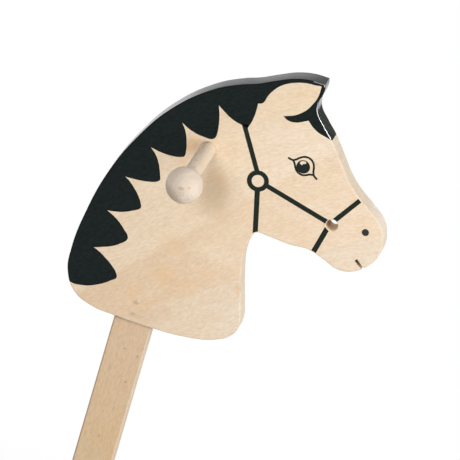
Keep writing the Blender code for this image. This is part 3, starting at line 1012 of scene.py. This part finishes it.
def wood_figure(along, through, across):
    """The figure of beech: fibres, growth bands, ripple, soft patches and rays, each from 0 to 1."""
    sway = noise(along / 80.0, through / 60.0, across / 40.0) * 10.0
    fibres = noise(along / 40.0, through / 0.8, across / 0.5, 3.0, 0.6)
    bands = noise(along / 160.0, through / 40.0, (across + sway) / 6.0, 3.0, 0.6)
    wave = noise(along / 12.0, through / 20.0, across / 10.0) * 5.0
    ripple = noise(along / 5.0, through / 4.0, (across + sway + wave) / 1.6, 3.0, 0.7)
    patches = noise(along / 30.0, through / 24.0, across / 13.0, 3.0, 0.55)
    cell = along.node("CombineXYZ", sockets={0: along / 5.0, 1: through / 2.6, 2: across / 1.0})
    nearest = along.node("TexVoronoi", {"feature": "F1"}, {"Vector": cell, "Scale": 1.0, "Randomness": 1.0})
    chance = nearest.also("Color").parts()[0]
    rays = nearest.fall(0.08, 0.26) * chance.rise(RAY_SHARE, RAY_SHARE + 0.3)
    return fibres, bands, ripple, patches, rays


def patchy(colour, patches, warm, light, share):
    """Lets soft patches of a colour turn warmer here and lighter there, by this share."""
    colour = blend_colours(patches.rise(0.50, 0.72) * share, colour, warm)
    return blend_colours((1.0 - patches).rise(0.50, 0.72) * share, colour, light)


def show(start, colour, roughness, height, strength, deep, **others):
    """Ends a net: a surface of this colour and roughness, with fine relief this many mm deep."""
    sockets = {"Base Color": colour, "Roughness": roughness}
    sockets.update({name.replace("_", " "): value for name, value in others.items()})
    relief = {"Strength": strength, "Distance": deep * MM, "Height": height}
    sockets["Normal"] = start.node("Bump", sockets=relief)
    surface = start.node("BsdfPrincipled", sockets=sockets)
    start.node("OutputMaterial", sockets={"Surface": surface})


def wood_shader(start, colour, fibres, rays, roughness=0.47, relief=1.0):
    """Satin lacquer over fine fibres."""
    rough = fibres.spread(roughness - 0.05, roughness + 0.07)
    height = fibres * 0.6 - rays * 0.5
    show(start, colour, rough, height, 0.25 * relief, 0.06, Specular_IOR_Level=0.35)


def dress(pieces, *materials):
    """Gives pieces these materials in place of any that they have."""
    for piece in pieces:
        piece.data.materials.clear()
        for material in materials:
            piece.data.materials.append(material)


def give_second(piece, wanted):
    """Gives the wanted faces a piece's second material, and tells how many there are."""
    with editing(piece):
        pick_faces(piece, wanted)
        piece.active_material_index = 1
        bpy.ops.object.material_slot_assign()
    return sum(1 for face in piece.data.polygons if face.material_index == 1)


print("beech recipe is ready")

# %% [markdown]
# ## Board wood
# The board is glued up from staves about 50 mm wide. Their glue lines rise at 37 degrees towards the
# nose and the grain at 42, and the grain flattens out in the muzzle. One stave holds a streak of warm
# heartwood, which a dark glue line ends below and which fades out above. The sawn edges show end grain,
# greyer than the faces, and on the front of the nose a painted sheen makes it lighter and bluer. A few
# small marks and honey spots sit where this board has them. Painted shade sits among them: warm painted
# shadow of the ball and of the bar, and dark painted shade beside the bar's foot and at the pin.

# %% Staves, heartwood and grain
GRAIN_RISE = radians(42.0)
GRAIN_TURN = (0.0, GRAIN_RISE, 0.0)
JOINT_TURN = (0.0, radians(37.0), 0.0)
FIRST_JOINT = -125.0
STAVE = 49.7
PALE_BEECH = opaque(0.835, 0.672, 0.492)
FACE_BEECH = opaque(0.835, 0.695, 0.543)
BAND_BEECH = opaque(0.800, 0.632, 0.447)
HEART_BEECH = opaque(0.770, 0.572, 0.387)
# honey tone of the wood, also the colour of the warm painted shadow of the ball and the bar
HONEY_AND_SHADOW_TONE = opaque(0.790, 0.545, 0.315)
LIGHT_BEECH = opaque(0.850, 0.705, 0.540)
END_PALE = opaque(0.725, 0.607, 0.457)
END_DEEP = opaque(0.677, 0.563, 0.421)
END_PAINTED_SHEEN = opaque(0.800, 0.705, 0.590)
STAIN_AND_SHADE_BROWN = opaque(0.30, 0.17, 0.10)
RIPPLE_SWING = (0.19, 0.26, 0.37)


def marks(start, half, places):
    """The strongest of many soft spots on a right face: middle, half sizes and strength of each."""
    side_x, side_y, side_z = start.place()
    most = None
    for x, z, half_wide, half_high, strength in places:
        over = (side_x - x) / half_wide
        up = (side_z - z) / half_high
        here = (over * over + up * up).fall(0.1, 1.0) * strength
        most = here if most is None else most.larger(here)
    return most * side_y.fall(1.0 - half, 2.0 - half)


board_wood, start = new_material("board_beech_lacquered")
along, through, across = grain_space(start, GRAIN_TURN)
over_joints = grain_space(start, JOINT_TURN)[2]
stave_place = (over_joints - FIRST_JOINT) / STAVE
stave = stave_place.math("FLOOR", stave_place)
past_bend = (along + 20.0).larger(0.0)
bent = across + past_bend * past_bend * 0.0011 + stave * 311.0
fibres, bands, ripple, patches, rays = wood_figure(along + stave * 173.0, through, bent)

above_joint = over_joints.rise(FIRST_JOINT - 0.3, FIRST_JOINT + 0.3)
heart_edge = across - along * 0.107 + 57.2 + (bands - 0.5) * 8.0
heartwood = above_joint * heart_edge.fall(-5.0, 1.5) * (1.0 - along.rise(-90.0, 0.0) * 0.55)
corner = marks(start, BOARD_HALF, [(-18.0, -172.0, 26.0, 13.0, 0.95), (0.0, -164.0, 14.0, 9.0, 0.5)])
window = marks(start, BOARD_HALF, [(39.0, -93.0, 30.0, 11.0, 0.75)])
heartwood = (heartwood * (1.0 - window)).larger(corner)
stave_tone = start.node("TexWhiteNoise", {"noise_dimensions": "1D"}, {"W": stave + 0.5})
from_stave_middle = ((stave_place - stave) - 0.5).size()
joint_line = from_stave_middle.rise(0.4955, 0.4995) * over_joints.fall(-90.0, -80.0)
joint_line = joint_line * (1.0 - corner)
x, y, z = start.place()
on_the_face = x.rise(10.0, 90.0) * z.fall(25.0, 70.0)
pale = blend_colours(on_the_face, PALE_BEECH, FACE_BEECH)
colour = blend_colours(bands.rise(0.30, 0.70) * 0.5, pale, BAND_BEECH)
colour = blend_colours(heartwood, colour, HEART_BEECH)
colour = patchy(colour, patches, HONEY_AND_SHADOW_TONE, LIGHT_BEECH, 0.22)
print("nodes so far:", len(board_wood.node_tree.nodes))

# %% Marks, honey spots, painted shadow and end grain
broken = (patches * 0.5 + ripple * 0.5).rise(0.38, 0.62).spread(0.45, 1.35)
honey_and_painted_shadow = broken * marks(start, BOARD_HALF, [
    (-5.4, -100.0, 17.0, 12.0, 0.55),
    (-6.0, -130.0, 14.0, 12.0, 0.60),
    (18.0, -133.0, 13.0, 9.0, 0.45),
    (32.4, -118.1, 10.0, 8.0, 0.45),
    (-25.0, -157.0, 12.0, 12.0, 0.45),
    (-39.0, -169.0, 9.0, 5.0, 0.45),
    (-15.0, -165.0, 5.0, 12.0, 0.55),
    (64.5, -119.0, 7.0, 9.0, 0.60),
    (96.0, -47.0, 26.0, 10.0, 0.20),
    (66.3, 80.2, 24.0, 14.0, 0.20),
    (57.4, 60.0, 26.0, 20.0, 0.18),
    # painted shadow: warm shade cast by the ball on the board
    (15.1, -36.1, 17.0, 27.0, 0.55),
    (20.0, -52.0, 18.0, 14.0, 0.35),
    # painted shadow: warm shade cast by the bar to its left
    (-13.5, -2.6, 9.0, 12.0, 0.85),
    (-17.1, -19.0, 9.0, 13.0, 0.50),
])
stains_and_painted_shade = marks(start, BOARD_HALF, [
    (-23.9, -175.2, 4.0, 2.4, 0.26),
    # painted shade at the pin's lower-left rim
    (-23.6, -163.9, 3.6, 2.6, 0.34),
    (65.5, -119.0, 3.0, 3.6, 0.16),
    (108.0, 27.5, 8.0, 2.2, 0.08),
    (49.0, 54.6, 7.5, 1.9, 0.08),
    # painted shade beside the bar's foot
    (-12.0, 0.0, 3.4, 5.0, 0.12),
])
level = stave_tone.spread(0.985, 1.015) * fibres.spread(0.95, 1.05)
level = level * x.rise(-110.0, 150.0).spread(0.945, 1.03) * (1.0 - joint_line * 0.13)
# painted shadow of the ball: the board is darkened a little where it falls
painted_ball_shadow = marks(start, BOARD_HALF, [(16.0, -40.0, 19.0, 30.0, 1.0)])
level = level * above_joint.spread(0.955, 1.0) * (1.0 - painted_ball_shadow * 0.07)
facing = start.node("NewGeometry", out="Normal")
grain_line = (cos(GRAIN_RISE), 0.0, sin(GRAIN_RISE))
sideways = facing.parts()[1].size()
end_grain = facing.dot(grain_line).size().rise(0.3, 0.9) * sideways.fall(0.35, 0.95)
on_arris = sideways.rise(0.15, 0.45) * sideways.fall(0.90, 0.99)
level = level * (1.0 - on_arris * 0.09)
colour = blend_colours(honey_and_painted_shadow, colour, HONEY_AND_SHADOW_TONE)
colour = swing(dim(colour, level), ripple, RIPPLE_SWING)
colour = blend_colours(rays * 0.13, colour, RAY_BROWN)
end_colour = blend_colours(bands.rise(0.3, 0.7), END_PALE, END_DEEP)
# painted sheen: the end grain on the front of the nose is lighter and bluer, a reflection of the white room
# painted into its colour
nose_edge_sheen = x.rise(148.0, 162.0) * z.rise(-35.0, -20.0)
end_colour = blend_colours(nose_edge_sheen * 0.75, end_colour, END_PAINTED_SHEEN)
end_colour = dim(end_colour, patches.spread(0.86, 1.14) * ripple.spread(0.78, 1.22))
colour = blend_colours(end_grain * 0.85, colour, end_colour)
colour = blend_colours(stains_and_painted_shade, colour, STAIN_AND_SHADE_BROWN)
wood_shader(start, colour, fibres, rays)
print("nodes in the board's wood:", len(board_wood.node_tree.nodes))

# %% [markdown]
# ## Raw cut wood
# The walls of the rein hole and the mouth slit are cut wood, and their colour holds painted shade and
# light. In the hole the upper-left wall is painted dark as shade and the lower-right wall pale as light,
# after the wall's own direction. In the slit the inner end is painted dark brown as the shade deep in
# it, after the place along it.

# %% Wood of the cut walls
UPPER_LEFT = (-0.8, 0.0, 0.6)
PAINTED_WALL_SHADE = opaque(0.40, 0.24, 0.14)
PAINTED_WALL_LIGHT = opaque(0.98, 0.80, 0.60)
SLIT_PAINTED_SHADE = opaque(0.27, 0.16, 0.075)
SLIT_OUTER = opaque(0.78, 0.61, 0.47)

cut_wood, start = new_material("cut_wall_beech_painted_shade")
fibres, bands, ripple, patches, rays = wood_figure(*grain_space(start, GRAIN_TURN))
# painted shade and light: the hole's upper-left wall is darkened and its lower-right wall lightened by the
# wall's direction
wall_painted_light = start.node("NewGeometry", out="Normal").dot(UPPER_LEFT)
colour = blend_colours(wall_painted_light.rise(-0.9, 0.7), PAINTED_WALL_SHADE, PAINTED_WALL_LIGHT)
x, y, z = start.place()
# painted shade: the slit's inner end is dark brown, fading to paler wood towards its mouth
slit_wall = blend_colours(x.rise(157.5, 165.0), SLIT_PAINTED_SHADE, SLIT_OUTER)
colour = blend_colours(x.rise(150.0, 151.0), colour, slit_wall)
colour = dim(colour, fibres.spread(0.85, 1.15) * ripple.spread(0.85, 1.15))
wood_shader(start, colour, fibres, rays, roughness=0.75, relief=2.0)

dress([board], board_wood, cut_wood)
bit_middle = Vector((BIT_X, 0.0, BIT_Z)) * MM
slit_middle = (slit_start + along_slit * SLIT_REACH / 2) * MM


def cut_wall(middle, normal):
    """True for the walls of the rein hole and of the mouth slit."""
    from_bit = Vector((middle.x, 0.0, middle.z)) - bit_middle
    in_bore = from_bit.length < (BIT_RADIUS + 0.3) * MM
    from_slit = Vector((middle.x, middle.z)) - slit_middle
    beside = abs(from_slit.dot(Vector((-along_slit.y, along_slit.x))))
    within = abs(from_slit.dot(along_slit)) < (SLIT_REACH / 2 + 1.0) * MM
    in_slit = beside < (SLIT_HALF + 0.05) * MM and within
    return (in_bore or in_slit) and abs(normal.y) < 0.9


print("raw faces:", give_second(board, cut_wall))

# %% [markdown]
# ## Stick, handle, pin and wheels in beech
# The same recipe serves the other wooden pieces, with the grain laid along each. The stick is a darker,
# warmer plank. The handle and balls are greyer and show growth rings round a centre that is off the
# axis, as turned dowels do.

# %% Beech for the stick
UPRIGHT = (0.0, radians(90.0), 0.0)
OTHER_PLANK = (400.0, 30.0, 700.0)
LATH_PALE = opaque(0.690, 0.500, 0.330)
LATH_DEEP = opaque(0.640, 0.455, 0.292)
LATH_LOW = opaque(0.640, 0.452, 0.247)
LATH_WARM = opaque(0.660, 0.440, 0.235)
LATH_LIGHT = opaque(0.665, 0.500, 0.345)
LIT_ARRIS = opaque(0.66, 0.56, 0.45)
SHADED_ARRIS = opaque(0.38, 0.27, 0.17)
KNOCK_BROWN = opaque(0.24, 0.15, 0.09)

lath_wood, start = new_material("lath_beech_lacquered")
plank_place = grain_space(start, UPRIGHT, OTHER_PLANK)
fibres, bands, ripple, patches, rays = wood_figure(*plank_place)
colour = blend_colours(bands.rise(0.30, 0.70) * 0.5, LATH_PALE, LATH_DEEP)
x, y, z = start.place()
colour = blend_colours(z.fall(-330.0, -190.0) * 0.6, colour, LATH_LOW)
colour = patchy(colour, patches, LATH_WARM, LATH_LIGHT, 0.35)
colour = dim(colour, fibres.spread(0.93, 1.07) * ripple.spread(0.76, 1.24))
colour = blend_colours(rays * 0.20, colour, RAY_BROWN)
facing_x, facing_y, facing_z = start.node("NewGeometry", out="Normal").parts()
on_arris = facing_y.size().rise(0.15, 0.40) * facing_y.size().fall(0.90, 0.99)
colour = blend_colours(on_arris * facing_x.rise(0.2, 0.5) * 0.8, colour, LIT_ARRIS)
colour = blend_colours(on_arris * (0.0 - facing_x).rise(0.2, 0.5) * 0.6, colour, SHADED_ARRIS)
# painted shade: the stick's top, just under the board's rim, is darkened
painted_shade_under_board = z.rise(STICK_TOP - 2.6, STICK_TOP - 0.2)
colour = dim(colour, 1.0 - painted_shade_under_board * 0.22)
knocks = marks(start, LATH_HALF, [
    (-12.3, -241.9, 1.5, 1.2, 0.50),
    (-8.5, -214.3, 1.4, 2.0, 0.40),
    (-22.0, -210.9, 1.6, 1.2, 0.35),
    (-30.0, -233.0, 2.0, 5.0, 0.18),
    (-16.0, -270.0, 1.2, 2.6, 0.25),
    (-22.0, -300.0, 1.6, 1.6, 0.30),
])
colour = blend_colours(knocks, colour, KNOCK_BROWN)
wood_shader(start, colour, fibres, rays)
dress([lath], lath_wood)
print("stick wood is ready")

# %% Beech for turned pieces
LOWER_LEFT = (-0.57, -0.34, -0.75)
UNDER_THE_BALL = (-0.10, -0.36, -0.93)
HOLE_BROWN = opaque(0.45, 0.30, 0.19)
STREAK_GREY = opaque(0.46, 0.38, 0.28)
PAINTED_CRESCENT_SHADE = opaque(0.405, 0.325, 0.218)
PORE_GREY = opaque(0.38, 0.33, 0.22)
SPECK_BROWN = opaque(0.50, 0.28, 0.12)
BALL_SPECKS = [(-0.3, 2.3, 3.6, 2.2, 0.50), (6.6, 4.5, 2.0, 1.6, 0.38), (1.5, -1.5, 3.5, 2.0, 0.15)]


def turned_beech(name, pale, deep, heart, ring_gap=1.7, ring_share=0.5):
    """Beech with the grain along the cross axis and growth rings round an off-centre heart."""
    material, start = new_material(name)
    x, y, z = start.place()
    over = x - heart[0]
    up = z - heart[1]
    warp = noise(y / 60.0, over / 14.0, up / 14.0)
    from_heart = over.math("SQRT", over * over + up * up) + warp * 5.0
    rings = noise(from_heart / ring_gap, y / 90.0, warp, 2.0, 0.55)
    fibres = noise(y / 30.0, over / 0.5, up / 0.5, 2.0, 0.6)
    cell = y.node("CombineXYZ", sockets={0: over, 1: y / 6.0, 2: up})
    nearest = y.node("TexVoronoi", {"feature": "F1"}, {"Vector": cell, "Scale": 1.0})
    chance = nearest.also("Color").parts()[0]
    rays = nearest.fall(0.10, 0.26) * chance.rise(0.6, 0.8)
    patches = noise(y / 22.0, over / 9.0, up / 9.0, 3.0, 0.55)
    colour = blend_colours(rings.rise(0.35, 0.68) * ring_share, pale, deep)
    colour = dim(colour, fibres.spread(0.94, 1.06) * patches.spread(0.90, 1.10))
    colour = blend_colours(rays * 0.22, colour, RAY_BROWN)
    return material, start, colour, fibres, rays


bar_wood, start, colour, fibres, rays = turned_beech(
    "bar_beech_lacquered", opaque(0.92, 0.765, 0.595), opaque(0.83, 0.67, 0.50), (9.0, 13.0))
facing = start.node("NewGeometry", out="Normal")
upper_left = facing.dot(UPPER_LEFT)
x, y, z = start.place()
at_the_hole = upper_left.rise(0.1, 0.9) * y.size().fall(12.0, 20.0)
colour = blend_colours(at_the_hole * 0.60, colour, HOLE_BROWN)
streaks = noise(y / 7.0, x / 1.3, z / 1.3, 2.0, 0.6).rise(0.50, 0.64)
colour = blend_colours(streaks * upper_left.rise(-0.1, 0.8) * 0.50, colour, STREAK_GREY)
# painted shade: the bar is darkened a little where it goes into the board
colour = dim(colour, 1.0 - y.size().fall(11.0, 13.5) * 0.06)
# painted light and shade: the bar's left side is lightened and its right side darkened by the way it faces
colour = dim(colour, facing.parts()[0].rise(-0.7, 0.8).spread(1.04, 0.88))
wood_shader(start, colour, fibres, rays)

ball_wood, start, colour, fibres, rays = turned_beech(
    "ball_beech_lacquered", opaque(0.745, 0.625, 0.510), opaque(0.660, 0.533, 0.420), (4.5, 3.0), 1.9, 0.45)
facing = start.node("NewGeometry", out="Normal")
# painted shade: the lower-left side of the ball is turned grey-brown by its direction
colour = blend_colours(facing.dot(LOWER_LEFT).rise(0.46, 0.93) * 0.85, colour, PAINTED_CRESCENT_SHADE)
underneath = facing.dot(UNDER_THE_BALL).rise(0.15, 0.70)
x, y, z = start.place()
pores = noise(x / 1.4, y / 1.4, z / 1.4, 2.0, 0.6).rise(0.47, 0.60)
colour = blend_colours(pores * underneath * 0.45, colour, PORE_GREY)
colour = blend_colours(marks(start, BALL_Y, BALL_SPECKS), colour, SPECK_BROWN)
wood_shader(start, colour, fibres, rays)

wheel_wood, start, colour, fibres, rays = turned_beech(
    "wheel_beech_lacquered", opaque(0.80, 0.615, 0.43), opaque(0.71, 0.52, 0.345), (20.0, -790.0), 3.5)
wood_shader(start, colour, fibres, rays)
pin_wood, start, colour, fibres, rays = turned_beech(
    "pin_end_grain", opaque(0.80, 0.665, 0.515), opaque(0.67, 0.54, 0.41), (-30.0, -157.0), 0.6)
wood_shader(start, colour, fibres, rays, roughness=0.6)

dress([bar], bar_wood)
dress([left_ball, right_ball], ball_wood)
dress([left_wheel, right_wheel], wheel_wood)
dress([pin], pin_wood)
print("turned woods are ready")

# %% [markdown]
# ## Ink and edge paint
# The print is a matt greenish black that lies thin on the fibres. Along the edge the same black was
# brushed on, and where the saw ran with the grain it dries to a streaky sheen. Across the grain the wood
# drinks it and it stays matt, with the grain showing through. On the rounded rims painted shade darkens
# the black into a dark line, except at the ear's tip and the forelock, where a glossy bead catches the
# light.

# %% Black ink
GROWTH_GREY = opaque(0.042, 0.048, 0.038)


def black_ink(name, dark, grey):
    """Black that is matt on the faces, streaky and shiny on edges along the grain, and matt across it."""
    ink, start = new_material(name)
    along, through, across = grain_space(start, GRAIN_TURN)
    fibres, bands, ripple, patches, rays = wood_figure(along, through, across)
    facing = start.node("NewGeometry", out="Normal")
    facing_x, facing_y, facing_z = facing.parts()
    sideways = facing_y.size()
    flat_edge = sideways.fall(0.04, 0.16)
    on_arris = sideways.rise(0.04, 0.20) * sideways.fall(0.93, 0.995)
    across_grain = facing.dot(grain_line).size().rise(0.76, 0.96)
    streaks = noise(along / 60.0, through / 1.1, across / 60.0, 3.0, 0.6)
    weight = (1.0 - across_grain) * flat_edge * streaks.rise(0.3, 0.7).spread(0.55, 0.95)
    weight = weight * through.rise(-11.0, 11.0).spread(0.62, 1.15)
    weight = weight.larger((0.0 - facing_x).rise(0.45, 0.75) * flat_edge)
    weight = weight.larger(facing_x.rise(0.90, 0.98) * flat_edge)
    near_tip = start.place()[0].rise(64.0, 87.0) * facing_z.rise(0.5, 0.8)
    weight = weight * (1.0 - near_tip * 0.65)
    growth = noise(along / 40.0, along / 90.0, (across + through * 0.8) / 0.8, 2.0, 0.6)
    colour = blend_colours(ripple.rise(0.3, 0.7), dark, grey)
    # painted shade: the black is darkened on the rounded rims into a dark line
    colour = dim(colour, 1.0 - on_arris * 0.65)
    growth_lines = growth.rise(0.46, 0.62) * across_grain * flat_edge
    colour = blend_colours(growth_lines, colour, GROWTH_GREY)
    rough = fibres.spread(0.44, 0.56) + across_grain * flat_edge * 0.25
    height = fibres * 0.5 + rays * 0.5
    show(start, colour, rough, height, 0.3, 0.05,
         Specular_IOR_Level=0.12, Coat_Weight=weight, Coat_Roughness=0.18)
    return ink


mane_ink = black_ink(
    "black_ink_and_edge_paint", opaque(0.0016, 0.0060, 0.0053), opaque(0.0078, 0.0132, 0.0122))
bridle_ink = black_ink(
    "black_bridle_ink", opaque(0.0090, 0.0160, 0.0110), opaque(0.0125, 0.0190, 0.0145))
nostril_ink = black_ink(
    "dark_nostril_ink", opaque(0.030, 0.033, 0.031), opaque(0.036, 0.039, 0.037))

BEAD_FROM_X = 75.5
BEAD_GAP_LOW = 77.0
BEAD_GAP_HIGH = 92.5
bead, start = new_material("glossy_paint_bead")
thick = start.node("TexNoise", sockets={"Vector": start.node("TexCoord", out="Object"), "Scale": 60.0})
surface = start.node("BsdfPrincipled", sockets={
    "Base Color": blend_colours(thick, opaque(0.003, 0.006, 0.005), opaque(0.006, 0.010, 0.009)),
    "Roughness": thick.spread(0.20, 0.24),
    "IOR": 3.6,
    "Specular IOR Level": 0.5,
})
start.node("OutputMaterial", sockets={"Surface": surface})
dress([mane], mane_ink, bead)
dress([bridle, eye], bridle_ink)
dress([nostril], nostril_ink)


def beaded(middle, normal):
    """True for the middle of the rounded rims at the ear's tip and along the forelock."""
    on_the_ear_front = BEAD_GAP_LOW * MM < middle.z < BEAD_GAP_HIGH * MM
    on_the_round = 0.55 < abs(normal.y) < 0.85
    return middle.x > BEAD_FROM_X * MM and on_the_round and not on_the_ear_front


print("faces with the bead:", give_second(mane, beaded))

# %% [markdown]
# ## Rubber, nylon and steel
# The wheel set has three plain materials. Rubber is nearly black and matt, with a little dust. Nylon is
# milky. The steel is zinc-plated: bright, slightly blue and finely brushed round. Each gets its small
# unevenness from noise, because a flat value looks like a drawing.

# %% Rubber
rubber, start = new_material("tyre_rubber_matt")
place = start.node("TexCoord", out="Object")
pores = start.node("TexNoise", sockets={"Vector": place, "Scale": 900.0, "Detail": 3.0})
dust = start.node("TexNoise", sockets={"Vector": place, "Scale": 60.0, "Detail": 4.0})
colour = blend_colours(dust.rise(0.45, 0.75), opaque(0.020, 0.020, 0.021), opaque(0.050, 0.048, 0.045))
show(start, colour, dust.spread(0.60, 0.85), pores, 0.35, 0.08, Specular_IOR_Level=0.4)
dress([left_tyre, right_tyre], rubber)
print("rubber is ready")

# %% Nylon
nylon, start = new_material("spacer_nylon_natural")
place = start.node("TexCoord", out="Object")
milk = start.node("TexNoise", sockets={"Vector": place, "Scale": 300.0, "Detail": 2.0})
colour = blend_colours(milk, opaque(0.82, 0.80, 0.73), opaque(0.74, 0.71, 0.63))
show(start, colour, milk.spread(0.32, 0.48), milk, 0.15, 0.05)
dress([left_spacer, right_spacer], nylon)
print("nylon is ready")

# %% Zinc-plated steel
steel, start = new_material("zinc_plated_steel")
place = start.node("TexCoord", out="Object")
x, y, z = start.place()
over = x - STICK_X
up = z - AXLE_Z
from_axle = over.math("SQRT", over * over + up * up)
brushing = noise(from_axle / 0.12, y / 0.12, over / 9.0)
spangle = start.node("TexVoronoi", {"feature": "F1"}, {"Vector": place, "Scale": 520.0}, out="Color")
colour = blend_colours(spangle.parts()[0], opaque(0.60, 0.62, 0.64), opaque(0.70, 0.71, 0.72))
show(start, colour, brushing.spread(0.24, 0.38), brushing, 0.12, 0.03, Metallic=1.0)
dress([axle, left_washer, right_washer, left_cap, right_cap], steel)
print("steel is ready")

# %% [markdown]
# ## Tie the pieces to the model
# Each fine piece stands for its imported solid, which stays hidden for collision, and rides on the same
# body, so a wheel's wood and tyre turn with the wheel. The ink is extra: it rides on the horse.

# %% Ride and replace
STANDS_FOR = (
    (board, "board_beech", "horse", "head_board"),
    (lath, "lath_beech", "horse", "lath_stick"),
    (pin, "pin_beech", "horse", "tenon_pin"),
    (bar, "handle_beech", "horse", "handle_shaft"),
    (left_ball, "handle_beech", "horse", "handle_knob_left"),
    (right_ball, "handle_beech", "horse", "handle_knob_right"),
    (axle, "steel", "horse", "wheel_axle"),
    (left_wheel, "wheel_beech", "left_wheel", "wheel_left"),
    (right_wheel, "wheel_beech", "right_wheel", "wheel_right"),
    (left_tyre, "tyre_rubber", "left_wheel", "tyre_left"),
    (right_tyre, "tyre_rubber", "right_wheel", "tyre_right"),
    (left_spacer, "spacer_nylon", "horse", "spacer_left"),
    (right_spacer, "spacer_nylon", "horse", "spacer_right"),
    (left_washer, "steel", "horse", "washer_left"),
    (right_washer, "steel", "horse", "washer_right"),
    (left_cap, "steel", "horse", "axle_cap_left"),
    (right_cap, "steel", "horse", "axle_cap_right"),
)
for piece, slot_name, body, node in STANDS_FOR:
    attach(piece, body)
    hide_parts(node)
for piece in (mane, bridle, eye, nostril):
    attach(piece, "horse")
print("pieces tied:", len(STANDS_FOR) + 4)

# %% [markdown]
# ## The colour view
# The scene is set to the Standard view, which leaves colours as they are.

# %% Set the colour view
bpy.context.scene.view_settings.view_transform = "Standard"
